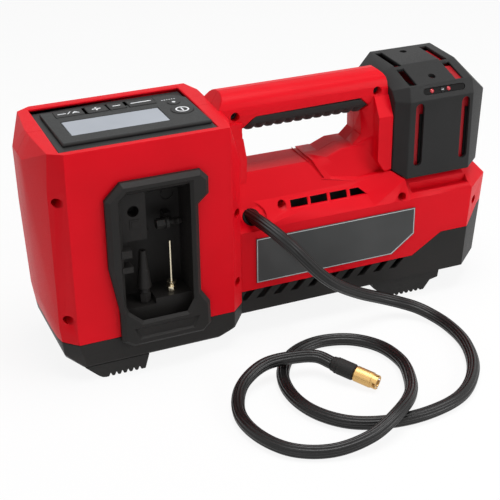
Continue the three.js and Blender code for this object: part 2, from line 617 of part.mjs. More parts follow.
const bezelRing = (inset, z) => [
  [BEZEL.left + inset, BEZEL.front + inset, z], [BEZEL.right - inset, BEZEL.front + inset, z],
  [BEZEL.left + inset, BEZEL.back - inset, z], [BEZEL.right - 10 - inset, BEZEL.back - inset, z],
  [BEZEL.right - inset, BEZEL.back - 10 - inset, z],
];
piece('display_bezel', cut(hull([
  ...bezelRing(0, bezel_low_z), ...bezelRing(0, BEZEL.top_z - 0.8), ...bezelRing(0.8, BEZEL.top_z),
]), [
  ...keyHoles(), windowBlock(-WINDOW.ledge, 190, 210), windowBlock(GAP, BEZEL.top_z - 2, 210),
]), BLACK);
piece('display_window', windowBlock(0, BEZEL.top_z - 1.7, BEZEL.top_z - 0.3), GLASS);

for (const key of KEYS) {
  piece(key[0], keyBlock(key, 0, KEY.low_z, key_top_z), RUBBER);
}
for (const key of ROUND_KEYS) {
  piece(key[0], roundKey(key, 0, KEY.low_z, key_top_z), RUBBER);
}

const switches = [
  ...KEYS.map(([, x0, x1]) => [(x0 + x1) / 2, (KEY.front + KEY.back) / 2]),
  ...ROUND_KEYS.map(([, x, y]) => [x, y]),
].map(([x, y]) => box(x - 3, x + 3, y - 3, y + 3, board_top_z - 0.1, BOARD.switch_z));
piece('display_board', joined([box(16, 132, -40, 40, BOARD.z, board_top_z), ...switches]), COPPER_GREEN);
piece('lcd_module', box(24, 108.5, -25, 10.5, board_top_z + GAP, panel_low_z - GAP), GLASS);

piece('control_board', joined([
  box(CONTROL.left, CONTROL.right, CONTROL.y, CONTROL.y + CONTROL.thick, CONTROL.z0, CONTROL.z1),
  box(34, 52, 20, CONTROL.y + 0.5, 70, 92), box(62, 84, 18, CONTROL.y + 0.5, 96, 118),
  box(92, 108, 24, CONTROL.y + 0.5, 66, 80), box(92, 103, 28, CONTROL.y + 0.5, 95, 103),
  bar('y', [44, 116], 7, 14, CONTROL.y + 0.5, 16),
]), COPPER_GREEN);

// ---------------------------------------------------------------- air hose and chuck
const HOSE_ROUTE = [
  [169.6, -27.2, 109.4], [173.3, -43.9, 109], [180.3, -57.9, 103.9], [190, -68, 94.2],
  [202, -70.6, 79.6], [216, -70, 63.6], [234, -67, 47.4], [258, -63, 32], [282, -61.5, 20.6],
  [298.5, -65, 14.2], [311, -73, 10.2], [319, -85, 7.4], [324, -103, 5.7], [322, -135, 5.6],
  [306, -172.5, 5.6], [277, -201, 5.6], [240, -211.5, 5.6], [205, -209, 5.6], [178.5, -197, 5.6],
  [161, -174.5, 5.6], [155, -146, 5.6], [161, -116, 5.6], [180, -92, 5.6], [208, -82.5, 5.6],
  [236, -90, 5.6], [253.5, -110, 5.7], [258, -138, 6.2], [248.5, -169, 9.8], [232, -197.5, 15.4],
  [211, -216, 17], [184, -226.5, 10.8], [152, -225.5, 6], [124.5, -212, 5.6], [109, -184.5, 5.6],
  [107.5, -152, 5.8], [121.5, -124.5, 10], [146, -111.5, 15.8], [172, -112.5, 17],
  [191.1, -117.2, 15.5], [199.5, -128.2, 13.4],
];
piece('air_hose', tube(HOSE_ROUTE, HOSE.r, 78, 10), RUBBER);

const unit = (way) => new THREE.Vector3(...way).normalize().toArray();

const [hose_start, hose_next] = HOSE_ROUTE;
const exit_way = unit(hose_next.map((value, i) => value - hose_start[i]));
const socket_from = along(hose_start, exit_way, -GAP);
const hoseSocket = rod(socket_from, along(hose_start, exit_way, 14), HOSE.socket_r);
piece('hose_gland', joined([
  holeRod(HOSE.hole_r - GAP, -HOSE.plug_depth, HOSE.plug_top),
  bar('y', HOSE.stub, HOSE.stub_r, -25.5, -12, 16),
]).subtract(hoseSocket), RUBBER);

const CHUCK = {
  start: HOSE_ROUTE.at(-1), way: unit([0.597, -0.788, -0.152]), ferrule: 20.6, length: 41.4, r: 6.6,
};
const onChuck = (distance) => along(CHUCK.start, CHUCK.way, distance);
const chuckRod = (from, to, r, far_r = r, sides = 18) => rod(onChuck(from), onChuck(to), r, far_r, sides);
piece('hose_ferrule', joined([
  chuckRod(GAP, 4, 6, 6.1), chuckRod(3.9, CHUCK.ferrule - 1, 6.9),
  chuckRod(CHUCK.ferrule - 1.1, CHUCK.ferrule, 6.9, 6.2),
]).subtract(chuckRod(10, CHUCK.ferrule + 1, 3.3)), RUBBER);
piece('chuck_stem', chuckRod(10 + GAP, CHUCK.length - 5, 3, 3, 16), BRASS);

const across = unit([CHUCK.way[1], -CHUCK.way[0], 0]);
const upright = unit(new THREE.Vector3(...across).cross(new THREE.Vector3(...CHUCK.way)).toArray());
const castellations = [across, upright].map((side) => {
  const point = onChuck(CHUCK.length - 1.6);
  return rod(along(point, side, -10), along(point, side, 10), 1.6, 1.6, 8);
});
piece('chuck_collar', cut(joined([
  chuckRod(CHUCK.ferrule + GAP, CHUCK.ferrule + 1.4, 5.8, CHUCK.r),
  chuckRod(CHUCK.ferrule + 1.3, CHUCK.length - 5, CHUCK.r), chuckRod(CHUCK.length - 5.1, CHUCK.length, 6),
]), [
  chuckRod(CHUCK.ferrule - 1, CHUCK.ferrule + 8, 3.4), chuckRod(CHUCK.ferrule + 4, CHUCK.length + 1, 4.4),
  ...castellations,
]), BRASS);

// ---------------------------------------------------------------- outer trim
piece('label_plate', prismY([[170.6, 51], [300.7, 51], [322.3, 67], [322.3, 92.5], [170.6, 92.5]],
  -BODY.half - GAP - 0.9, -BODY.half - GAP), CHARCOAL);

// The grip follows the handle; below wave_z it is sunk a little and carries round ribs.
function gripBar() {
  const sunk = 1.5;
  const wave_z = 184.5;
  const pitch = 9;
  const at = (inset, x) => handleSection(inset).map(([y, z]) => [x, y, z]);
  const ribs = Array.from({ length: 12 }, (_, i) => 179 + i * pitch).map((x) =>
    hull([...at(sunk, x - 4), ...at(0.1, x - 1.6), ...at(0.1, x + 1.6), ...at(sunk, x + 4)]));
  const upper = prismX(handleSection(), 160, 295).intersect(box(160, 295, -30, 30, wave_z, 220));
  return joined([prismX(handleSection(sunk), 160, 295), ...ribs, upper]);
}
piece('handle_grip', gripBar().intersect(gripRegion())
  .subtract(prismX(handleSection(HANDLE.grip), 155, 300)), RUBBER);

// ---------------------------------------------------------------- battery
// The gauge facet leans back along the pack's front top edge.
const FACET = { y: -35.9, z: 195.8, out: [0, -0.87, 0.493], up: [0, 0.493, 0.87] };
const onFacet = (x, up, out) => along(along([x, FACET.y, FACET.z], FACET.up, up), FACET.out, out);
const facetSlot = (x0, x1, half, from, to) => joined([
  rod(onFacet(x0 + half, 0, from), onFacet(x0 + half, 0, to), half, half, 16),
  rod(onFacet(x1 - half, 0, from), onFacet(x1 - half, 0, to), half, half, 16),
  hull([x0 + half, x1 - half].flatMap((x) =>
    [from, to].flatMap((out) => [-half, half].map((up) => onFacet(x, up, out))))),
]);
const GAUGE = { left: 328, right: 369, half: 2.9, button_x: 346.7, button_r: 2 };

const RAIL = { neck: 14, flange: 20, x0: 303.7, x1: 309.3, x2: 313.7, z0: 125, z1: 190 };
const railSection = (grow) => [
  [RAIL.x0 - 1, -RAIL.neck - grow], [RAIL.x1 - grow, -RAIL.neck - grow],
  [RAIL.x1 - grow, -RAIL.flange - grow], [RAIL.x2 + grow, -RAIL.flange - grow],
  [RAIL.x2 + grow, RAIL.flange + grow], [RAIL.x1 - grow, RAIL.flange + grow],
  [RAIL.x1 - grow, RAIL.neck + grow], [RAIL.x0 - 1, RAIL.neck + grow],
];

function frontSlots() {
  const half = 4;
  const low_z = 134;
  const high_z = 183;
  return [324, 369].flatMap((x) => bothSides((side) => {
    const [y0, y1] = side < 0 ? [-45, -34] : [34, 45];
    const ends = [low_z, high_z].map((z) => bar('y', [x, z], half, y0, y1, 16));
    return joined([...ends, box(x - half, x + half, y0, y1, low_z, high_z)]);
  }));
}

const topSlots = () => [[317, 324], [362, 369]].flatMap(([x0, x1]) =>
  [[-31, -7], [-4, 32]].map(([y0, y1]) => box(x0, x1, y0, y1, 192, 220)));

const LATCH = { x0: 390, x1: 396.6, half: 8.7, z0: 140.3, z1: 153.7 };

function batteryCase() {
  const channel_walls = box(PACK.left, 317, -25, 25, PACK.bottom_z, 199).intersect(packHull());
  return cut(packHull().subtract(packHull(PACK.wall, PACK.bottom_z - 5)).add(channel_walls), [
    prismZ(railSection(1), 110, 195),
    ...frontSlots(), ...topSlots(),
    facetSlot(GAUGE.left, GAUGE.right, GAUGE.half, -8, 4),
    bar('z', [343, -23], 3.2, 200, 220, 16), bar('z', [343, 27], 3.2, 205, 220, 16),
    box(LATCH.x0 - 2, PACK.right + 5, -9, 9, LATCH.z0 - GAP, LATCH.z1 + GAP),
  ]);
}
piece('battery_case', batteryCase(), CHARCOAL);

const CORE = { left: 317.4, right: 387, inset: 4.4, wall: 1.6, low_z: 122.6, top_z: 196 };
const coreSpace = (inset, floor_z) => packHull(inset, floor_z).intersect(
  box(CORE.left + inset - CORE.inset, CORE.right - inset + CORE.inset, -50, 50, floor_z, CORE.top_z));
const core = cut(coreSpace(CORE.inset, CORE.low_z), [
  coreSpace(CORE.inset + CORE.wall, CORE.low_z - 1).intersect(box(300, 400, -50, 50, 100, CORE.top_z - 2)),
  facetSlot(GAUGE.left - 2, GAUGE.right + 2, GAUGE.half + 2, -8, 4),
]);
piece('battery_core', core, DEEP_RED);

const cells = [0, 1, 2].flatMap((column) => [0, 1, 2].map((row) =>
  bar('y', [328.8 + column * 18.4, 141 + row * 18.4], 9.3, -31.2, 31.2, 12)));
piece('cell_block', joined(cells), CELL_BLUE);

piece('battery_base', packHull(PACK.wall + GAP, PACK.bottom_z).intersect(
  box(CORE.left, 400, -50, 50, PACK.bottom_z + 0.2, CORE.low_z - GAP)).subtract(
  box(322, 348, -11, 11, 110, 130)), BLACK);

const gaugeRod = (r, from, to) =>
  rod(onFacet(GAUGE.button_x, 0, from), onFacet(GAUGE.button_x, 0, to), r, r, 16);
const lens = facetSlot(GAUGE.left + GAP, GAUGE.right - GAP, GAUGE.half - GAP, -3, -0.8);
piece('gauge_lens', lens.subtract(gaugeRod(GAUGE.button_r + GAP, -6, 2)), BLACK);
piece('gauge_button', gaugeRod(GAUGE.button_r, -3.4, -0.3), WHITE);
piece('release_latch', box(LATCH.x0, LATCH.x1, -LATCH.half, LATCH.half, LATCH.z0, LATCH.z1), DEEP_RED);

const railSpace = box(RAIL.x0, 320, -30, 30, 100, 200);
piece('battery_rail', prismZ(railSection(0), RAIL.z0, RAIL.z1).intersect(railSpace), BLACK);
piece('terminal_block', joined([
  box(318 + GAP, 352 - GAP, -15, 15, 106, 118.4),
  ...[-8, -2.7, 2.7, 8].map((y) => box(325, 345, y - 0.5, y + 0.5, 118, 127)),
]), BLACK);

// ---------------------------------------------------------------- pump
const pumpPlate = cut(prismX([
  [-37.6, 29], [37.6, 29], [37.6, 70], [18, 104], [17, 116], [-17, 116], [-18, 104], [-37.6, 70],
], MOTOR.plate_x, MOTOR.x0 - GAP), [
  bar('x', [0, MOTOR.z], 3.6, 230, 260, 16), bar('x', [0, GEAR.z], 3.4, 230, 245.5, 16),
]);
piece('pump_plate', pumpPlate, ALUMINIUM);

piece('motor_can', cut(bar('x', [0, MOTOR.z], MOTOR.r, MOTOR.x0, MOTOR.x1, 28), [
  bar('x', [0, MOTOR.z], MOTOR.r - 2.4, MOTOR.x0 - 1, MOTOR.x1 - 3, 28),
  bar('x', [0, MOTOR.z], 3, MOTOR.x0, MOTOR.x1 + 1, 16),
]), STEEL);

function toothed(center_z, tip_r, root_r, teeth, x0, x1) {
  const outline = Array.from({ length: teeth * 2 }, (_, i) => {
    const r = i % 2 ? root_r : tip_r;
    const turn = i * Math.PI / teeth;
    return [r * Math.cos(turn), center_z + r * Math.sin(turn)];
  });
  return prismX(outline, x0, x1);
}
piece('motor_rotor', joined([
  bar('x', [0, MOTOR.z], 2, GEAR.x0 - 1, 324, 12), bar('x', [0, MOTOR.z], 13, 252, 300, 20),
  toothed(MOTOR.z, GEAR.pinion_r, GEAR.pinion_r - 1.2, 9, GEAR.x0, GEAR.x1),
]), STEEL);

const blades = Array.from({ length: 7 }, (_, i) => {
  const turn = i / 7 * 2 * Math.PI;
  return rod([316.5, 0, MOTOR.z], [316.5, 17 * Math.cos(turn), MOTOR.z + 17 * Math.sin(turn)], 1.8, 2.6, 6);
});
piece('cooling_fan', joined([ring('x', [0, MOTOR.z], 6, 2.2, 313, 320, 16), ...blades.map((blade) =>
  blade.subtract(bar('x', [0, MOTOR.z], 4, 300, 330, 16)))]), NYLON);

const pin_z = GEAR.z - GEAR.throw;
piece('drive_gear', joined([
  toothed(GEAR.z, GEAR.r, GEAR.r - 1.2, 36, GEAR.x0, GEAR.x1),
  bar('x', [0, GEAR.z], 3, GEAR.x1 - 0.1, 245, 14),
  bar('x', [0, pin_z], 2, 225.4, GEAR.x0 + 0.1, 14), bar('x', [0, pin_z], 3, 224.6, 225.6, 14),
]), STEEL);

const ROD = { x0: 226, x1: 231, length: 30 };
piece('connecting_rod', cut(joined([
  bar('x', [0, pin_z], 4.6, ROD.x0, ROD.x1, 18), bar('x', [0, pin_z + ROD.length], 3, ROD.x0, ROD.x1, 14),
  box(ROD.x0, ROD.x1, -2, 2, pin_z + 1, pin_z + ROD.length),
]), [bar('x', [0, pin_z], 2 + GAP, 220, 235, 14)]), ALUMINIUM);

const cylinder_place = [CYLINDER.x, 0];
const { r: sleeve_r, bore_r, z0: sleeve_low, z1: sleeve_high } = CYLINDER;
piece('pump_cylinder', ring('z', cylinder_place, sleeve_r, bore_r, sleeve_low, sleeve_high), ALUMINIUM);
piece('pump_piston', bar('z', cylinder_place, bore_r - GAP, 107, 117).subtract(
  bar('z', cylinder_place, 9.2, 106, 112.5)), ALUMINIUM);
piece('cylinder_head', cut(joined([
  bar('z', cylinder_place, sleeve_r, sleeve_high + GAP, 134), bar('x', [0, 131.2], 2.6, 206, 217, 14),
]), [bar('x', [0, 131.2], 1.2, 205, 226, 8)]), ALUMINIUM);

piece('air_line', tube([
  [170.2, -11.4, 107], [170.8, -7, 107.9], [174, -2, 112.5], [182, 0, 122.5], [193, 0, 130],
  [205.6, 0, 131.2],
], 2.6, 18, 8), NYLON);
piece('power_lead', tube([
  [335, 0, 105.5], [334.6, 2, 98], [322, 20, 91], [300, 31, 88], [262, 32.5, 87], [225, 32.5, 87],
  [185, 28, 87], [158, 20, 86], [138, 16, 90], [122, 24, 96], [112, 30, 99], [103.6, 31, 99],
], 1.7, 26, 8), RUBBER);

export default group;
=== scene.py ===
"""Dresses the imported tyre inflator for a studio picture: finishes, softened edges, hose and fine trim."""
import json
import logging
import math
from dataclasses import dataclass, field
from enum import Enum
from typing import Callable, Iterable, Optional, Sequence

import bmesh
import bpy
from mathutils import Matrix, Vector

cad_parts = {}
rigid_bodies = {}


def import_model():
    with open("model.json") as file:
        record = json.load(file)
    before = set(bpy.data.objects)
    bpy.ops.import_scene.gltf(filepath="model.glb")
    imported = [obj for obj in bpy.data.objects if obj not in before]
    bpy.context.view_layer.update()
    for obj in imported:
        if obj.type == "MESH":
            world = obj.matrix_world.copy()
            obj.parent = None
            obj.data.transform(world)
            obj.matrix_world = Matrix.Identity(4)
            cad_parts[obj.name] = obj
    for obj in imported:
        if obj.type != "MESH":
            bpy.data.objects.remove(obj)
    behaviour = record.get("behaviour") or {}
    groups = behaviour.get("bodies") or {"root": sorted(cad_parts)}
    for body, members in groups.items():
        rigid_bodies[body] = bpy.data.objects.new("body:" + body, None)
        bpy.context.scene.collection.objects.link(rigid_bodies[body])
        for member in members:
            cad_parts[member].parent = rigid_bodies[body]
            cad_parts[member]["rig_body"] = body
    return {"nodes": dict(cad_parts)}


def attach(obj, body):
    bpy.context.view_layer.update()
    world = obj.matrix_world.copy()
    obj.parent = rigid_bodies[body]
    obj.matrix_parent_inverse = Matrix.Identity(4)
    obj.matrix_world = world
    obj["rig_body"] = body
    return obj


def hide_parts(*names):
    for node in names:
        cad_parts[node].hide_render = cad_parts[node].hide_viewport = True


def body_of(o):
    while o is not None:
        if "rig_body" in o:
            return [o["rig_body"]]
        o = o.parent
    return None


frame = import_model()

logging.basicConfig(level=logging.INFO, format="%(message)s")
LOG = logging.getLogger("inflator")

MM = 0.001
# The bench point, in mm, that the model's origin stands on: sizes below are in bench millimetres.
MIDDLE = Vector((197.9, -3.5, 0.0))
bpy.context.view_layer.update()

# Corners of a solid, and of a turned form, that lie closer than this in metres are one corner.
SOLID_WELD = 0.00001
TURNED_WELD = 0.000001
# Triangles of a solid that turn by less than this, in radians, are one flat face.
FLAT_TURN = math.radians(1.0)
# Edges that turn by more than this, in radians, stay crisp.
CRISP_TURN = math.radians(38)
# An edge is rounded only if its neighbours are longer than this many widths of the round.
ROOM_FOR_ROUND = 1.5

Pair = tuple[float, float]
Point = tuple[float, float, float]
Span = tuple[Point, Point]
Form = bmesh.types.BMesh
Edge = bmesh.types.BMEdge
Thing = bpy.types.Object
Tree = bpy.types.NodeTree


def at(x: float, y: float, z: float) -> Vector:
    """A bench point in mm as a point of the model's frame in metres."""
    return (Vector((x, y, z)) - MIDDLE) * MM


def linear(hex_colour: str) -> tuple[float, float, float, float]:
    """Turns an sRGB hex colour into linear RGBA.

    Args:
        hex_colour: six hex digits, with or without a leading hash.

    Returns:
        Four linear values, the last of them 1.
    """
    digits = hex_colour.lstrip("#")
    parts = (int(digits[i:i + 2], 16) / 255 for i in (0, 2, 4))
    return (*(c / 12.92 if c <= 0.04045 else ((c + 0.055) / 1.055) ** 2.4 for c in parts), 1.0)


# ---------- finishes
def add_node(
    tree: Tree,
    kind: str,
    settings: Optional[dict] = None,
    values: Optional[dict] = None,
    links: Optional[dict] = None,
) -> bpy.types.Node:
    """Adds one shader node.

    Args:
        tree: the node tree it goes into.
        kind: the node's type name after "ShaderNode".
        settings: attributes of the node.
        values: default values of its inputs, by name or index.
        links: sockets that feed its inputs, by name or index.

    Returns:
        The new node.
    """
    node = tree.nodes.new("ShaderNode" + kind)
    for key, value in (settings or {}).items():
        setattr(node, key, value)
    for key, value in (values or {}).items():
        node.inputs[key].default_value = value
    for key, socket in (links or {}).items():
        tree.links.new(socket, node.inputs[key])
    return node


def new_material(name: str, values: dict) -> tuple[bpy.types.Material, Tree, bpy.types.Node]:
    """Makes a material that holds a Principled shader.

    Args:
        name: the material's name.
        values: default values of the shader's inputs, by name.

    Returns:
        The material, its node tree and the shader.
    """
    material = bpy.data.materials.new(name)
    material.use_nodes = True
    tree = material.node_tree
    tree.nodes.clear()
    shader = add_node(tree, "BsdfPrincipled", values=values)
    add_node(tree, "OutputMaterial", links={"Surface": shader.outputs["BSDF"]})
    return material, tree, shader


def feed(tree: Tree, shader: bpy.types.Node, tone: bpy.types.NodeSocket,
         gloss: bpy.types.Node, bump: bpy.types.Node) -> None:
    """Links colour, roughness and relief to a Principled shader.

    Args:
        tree: the node tree they are in.
        shader: the shader.
        tone: the socket that gives the colour.
        gloss: the Map Range node that gives the roughness.
        bump: the Bump node that gives the relief.
    """
    tree.links.new(tone, shader.inputs["Base Color"])
    tree.links.new(gloss.outputs["Result"], shader.inputs["Roughness"])
    tree.links.new(bump.outputs["Normal"], shader.inputs["Normal"])


@dataclass(frozen=True)
class Moulded:
    """Injection-moulded plastic or rubber: spark-eroded grain, slight drift of tone, soft gloss.

    The grain of a real moulding is about 0.3 mm wide. It is drawn at grain_mm, coarser than that,
    so that it still shows as a fine tooth in the picture.
    """

    name: str
    colour: str
    dark: str
    roughness: float
    grain_mm: float = 1.1
    depth_mm: float = 0.035
    specular: float = 0.5
    drift_mm: float = 45.0
    sheen: float = 0.0
    coat: float = 0.0
    ior: float = 1.5
    # The values of the noise between which the tone drifts and the gloss varies, and by how much.
    tone_span: Pair = (0.3, 0.62)
    grain_span: Pair = (0.3, 0.7)
    gloss_span: Pair = (-0.06, 0.07)

    def build(self) -> bpy.types.Material:
        """Builds the material: noise grain for bump and roughness, broad noise for tone.

        Returns:
            The new material.
        """
        material, tree, shader = new_material(self.name, {
            "IOR": self.ior, "Specular IOR Level": self.specular, "Sheen Weight": self.sheen,
            "Coat Weight": self.coat})
        place = add_node(tree, "TexCoord").outputs["Object"]
        grain = add_node(tree, "TexNoise", values={"Scale": 1 / (self.grain_mm * MM), "Detail": 3.0,
                                                   "Roughness": 0.55}, links={"Vector": place})
        drift = add_node(tree, "TexNoise", values={"Scale": 1 / (self.drift_mm * MM), "Detail": 2.0},
                         links={"Vector": place})
        tone = add_node(tree, "ValToRGB", links={"Fac": drift.outputs["Fac"]})
        for stop, position, colour in zip(
                tone.color_ramp.elements, self.tone_span, (self.dark, self.colour)):
            stop.position = position
            stop.color = linear(colour)
        gloss = add_node(tree, "MapRange", values={
            "From Min": self.grain_span[0], "From Max": self.grain_span[1],
            "To Min": self.roughness + self.gloss_span[0], "To Max": self.roughness + self.gloss_span[1],
        }, links={"Value": grain.outputs["Fac"]})
        bump = add_node(tree, "Bump", values={"Strength": 0.5, "Distance": self.depth_mm * MM},
                        links={"Height": grain.outputs["Fac"]})
        feed(tree, shader, tone.outputs["Color"], gloss, bump)
        return material


@dataclass(frozen=True)
class Metal:
    """Bare or plated metal: turned, brushed or cast, with a fine scratch pattern."""

    name: str
    colour: str
    dark: str
    roughness: float
    stretch: Point = (1.0, 1.0, 8.0)
    scratch_mm: float = 0.6
    depth_mm: float = 0.01
    # How far the gloss strays from the roughness over the scratches.
    gloss_span: Pair = (-0.08, 0.12)

    def build(self) -> bpy.types.Material:
        """Builds the material: noise packed along one axis, so that the tool marks run across it.

        Returns:
            The new material.
        """
        material, tree, shader = new_material(self.name, {"Metallic": 1.0})
        place = add_node(tree, "TexCoord").outputs["Object"]
        drawn = add_node(tree, "Mapping", values={"Scale": self.stretch}, links={"Vector": place})
        marks = add_node(tree, "TexNoise", values={"Scale": 1 / (self.scratch_mm * MM), "Detail": 4.0},
                         links={"Vector": drawn.outputs["Vector"]})
        tone = add_node(tree, "Mix", {"data_type": "RGBA"}, {6: linear(self.dark), 7: linear(self.colour)},
                        {0: marks.outputs["Fac"]})
        gloss = add_node(tree, "MapRange", values={"To Min": self.roughness + self.gloss_span[0],
                                                   "To Max": self.roughness + self.gloss_span[1]},
                         links={"Value": marks.outputs["Fac"]})
        bump = add_node(tree, "Bump", values={"Strength": 0.4, "Distance": self.depth_mm * MM},
                        links={"Height": marks.outputs["Fac"]})
        feed(tree, shader, tone.outputs[2], gloss, bump)
        return material


class Finish(Enum):
    """Every finish of the inflator, by what the real surface is; two of them also carry painted shade.

    A moulded finish gives its name, colour, the darker tone it drifts to, roughness, width and depth
    of its grain in mm and specular level; a metal its name, the colours of its ridges and scratches
    and its roughness.
    """

    # Glass-filled nylon housing, moulded with a fine spark grain: strong red, satin gloss.
    RED_NYLON = Moulded("red_nylon_moulded", "#D8061A", "#D30518", 0.42, 1.1, 0.03, 0.12)
    # Black glass-filled nylon of the lower shells and the storage tray: dark warm grey, satin.
    BLACK_NYLON = Moulded("black_nylon_moulded", "#201E1D", "#1B1A19", 0.5, 1.3, 0.05, 0.2)
    # The same black nylon, darkened with painted shade, for the hose gland and what lies behind slots:
    # nearly black, dull.
    INNER_NYLON = Moulded("black_nylon_painted_shade", "#0E0D0D", "#0B0A0A", 0.6, 1.3, 0.05, 0.12)
    # Charcoal ABS of the battery: dry, fine-grained surface.
    CHARCOAL_ABS = Moulded("charcoal_abs_moulded", "#282828", "#242424", 0.5, 1.2, 0.045, 0.15)
    # The display panel and its bezel: the same ABS a shade lighter.
    PANEL_ABS = Moulded("panel_abs_moulded", "#2E2F2F", "#2A2B2B", 0.5, 1.2, 0.04, 0.15)
    # Deep red plastic of the battery's inner shell and its latch.
    DEEP_RED_ABS = Moulded("deep_red_abs_moulded", "#A80E1B", "#980C17", 0.45, 1.3, 0.03, 0.25)
    # Thermoplastic rubber of the grip, the feet and the hose's sleeve: matt, soft sheen, coarse tooth.
    SOFT_RUBBER = Moulded("overmoulded_rubber", "#222120", "#1B1A1A", 0.68, 1.5, 0.07, 0.25, sheen=0.04)
    # Extruded rubber of the hose and the power lead: smooth, nearly black, with a long soft highlight.
    HOSE_RUBBER = Moulded("extruded_hose_rubber", "#0F0E0E", "#0B0A0A", 0.36, 1.8, 0.02, 0.35)
    # Silicone rubber of the keys and buttons: nearly black, matt.
    KEY_RUBBER = Moulded("silicone_key_rubber", "#171717", "#131313", 0.55, 1.2, 0.02, 0.3)
    # White pad-printed ink on the keys.
    PRINT_INK = Moulded("pad_print_ink", "#E4E6E8", "#D8DADD", 0.5, 1.0, 0.01)
    # Liquid-crystal glass, switched off: an even cool grey with a weak, broad gloss.
    LCD_GLASS = Moulded("lcd_glass_off", "#A6ABB3", "#9FA4AC", 0.35, 9.0, 0.0, 0.1, drift_mm=60.0)
    # Lacquered film of the bare label plate: dark grey, satin.
    LABEL_FILM = Moulded("label_film_printed", "#464747", "#3F4040", 0.45, 0.9, 0.01, 0.2)
    # Bare metallised edge of the label: pale grey.
    LABEL_EDGE = Moulded("label_film_edge", "#C4C7C9", "#B9BCBE", 0.4, 1.0, 0.01, 0.3)
    # Red lamps of the charge gauge, unlit: red epoxy with a glossy skin.
    LAMP_EPOXY = Moulded("gauge_lamp_epoxy", "#C01828", "#AC1422", 0.25, 2.0, 0.005, 0.5, coat=0.3)
    # Shrink film round the cells: blue, glossy.
    CELL_FILM = Moulded("cell_shrink_film", "#3F7F9F", "#387594", 0.35, 2.0, 0.02)
    # Natural nylon of the fan and the air line: cream, slightly glossy.
    NATURAL_NYLON = Moulded("natural_nylon", "#D8D2C0", "#CDC6B2", 0.42, 1.5, 0.02)
    # Solder lacquer on the circuit boards: green, glossy.
    SOLDER_LACQUER = Moulded("solder_lacquer", "#1F6A41", "#185836", 0.3, 1.5, 0.02, coat=0.3)
    # Turned brass of the chuck: warm yellow with tool marks.
    TURNED_BRASS = Metal("brass_turned", "#DDB87C", "#C29A5C", 0.43)
    # Nickel plate on the ball needle: bright, faintly warm.
    NICKEL = Metal("nickel_plated", "#F0E6CF", "#CFC2A6", 0.22)
    # Black oxide on the housing screws: dark steel, oily gloss. On the pump's plate the same dark steel is
    # painted shade for the body's dark inside.
    BLACK_OXIDE = Metal("steel_black_oxide_and_shade", "#3A3A3C", "#1E1E20", 0.35)
    # Zinc-plated steel of gear and motor: plain grey.
    ZINC_STEEL = Metal("steel_zinc_plated", "#8C8D90", "#5F6063", 0.38)
    # Die-cast aluminium of the pump: light grey, dull, with an even coarse grain.
    CAST_ALUMINIUM = Metal("aluminium_die_cast", "#B9BBBE", "#8F9195", 0.5, (1.0, 1.0, 1.0), 1.4, 0.05)

    def material(self) -> bpy.types.Material:
        """The built material, made on its first use."""
        found = bpy.data.materials.get(self.value.name)
        return found or self.value.build()


def paint(thing: Thing, finish: Finish) -> None:
    """Gives an object one finish.

    Args:
        thing: a mesh object, a CAD node's or a new piece's.
        finish: what it is made of.
    """
    thing.data.materials.clear()
    thing.data.materials.append(finish.material())


# ---------- mesh helpers
def placed(name: str, data: bpy.types.ID) -> Thing:
    """Makes an object and links it to the scene.

    Args:
        name: its name.
        data: the mesh, curve, camera or lamp that it holds.

    Returns:
        The new object.
    """
    thing = bpy.data.objects.new(name, data)
    bpy.context.scene.collection.objects.link(thing)
    return thing


def new_piece(name: str, shape: Form, body: str, finish: Finish) -> Thing:
    """Turns a bmesh into a piece of the scene.

    Args:
        name: the piece's name.
        shape: its form, in the model's frame, in metres; it is freed here.
        body: the CAD body it moves with.
        finish: what it is made of.

    Returns:
        The new object, riding on its body.
    """
    bmesh.ops.recalc_face_normals(shape, faces=shape.faces)
    mesh = bpy.data.meshes.new(name)
    shape.to_mesh(mesh)
    shape.free()
    thing = placed(name, mesh)
    mesh.shade_smooth()
    mesh.set_sharp_from_angle(angle=CRISP_TURN)
    # Large faces keep their own direction and only the rounds between them turn.
    weighted = thing.modifiers.new("weighted_normals", "WEIGHTED_NORMAL")
    weighted.keep_sharp = True
    paint(thing, finish)
    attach(thing, body)
    LOG.info("%s on %s: %d faces, %s", name, body, len(mesh.polygons), finish.value.name)
    return thing


def cad_copy(node: str) -> Form:
    """A CAD node's form as a closed bmesh with plain faces instead of loose triangles.

    Args:
        node: the node's name.

    Returns:
        The merged form, its flat triangles joined to larger faces.
    """
    shape = bmesh.new()
    shape.from_mesh(frame["nodes"][node].data)
    bmesh.ops.remove_doubles(shape, verts=shape.verts, dist=SOLID_WELD)
    bmesh.ops.dissolve_limit(shape, angle_limit=FLAT_TURN, verts=shape.verts, edges=shape.edges)
    return shape


def linked_groups(edges: Sequence[Edge]) -> list[list[Edge]]:
    """Splits edges into groups that hang together.

    Args:
        edges: the edges of one form.

    Returns:
        Lists of edges that share vertices, in the order of the edges given.
    """
    left = dict.fromkeys(edges)
    groups = []
    while left:
        front = [next(iter(left))]
        del left[front[0]]
        group = []
        while front:
            edge = front.pop()
            group.append(edge)
            for near in (near for vert in edge.verts for near in vert.link_edges if near in left):
                front.append(near)
            for near in front:
                left.pop(near, None)
        groups.append(group)
    return groups


def round_edges(shape: Form, edges: Iterable[Edge], width: float, segments: int = 2) -> None:
    """Bevels edges of a form into rounds.

    Args:
        shape: the form, changed in place.
        edges: the edges to round.
        width: the round's width in mm.
        segments: faces across the round.
    """
    bmesh.ops.bevel(
        shape, geom=list(edges), offset=width * MM, offset_type="OFFSET", segments=segments, profile=0.5,
        affect="EDGES", clamp_overlap=True, material=-1)


@dataclass(frozen=True)
class Round:
    """How a solid's sharp edges are softened.

    The width is in mm and the segments are the faces across it. An edge is rounded if it turns by
    more than angle, in degrees, and is longer than shortest, in mm.
    """

    width: float
    segments: int = 2
    angle: float = 30.0
    shortest: float = 1.0


def anywhere(middle: Vector) -> bool:
    """Lets an edge be rounded wherever its middle lies."""
    return True


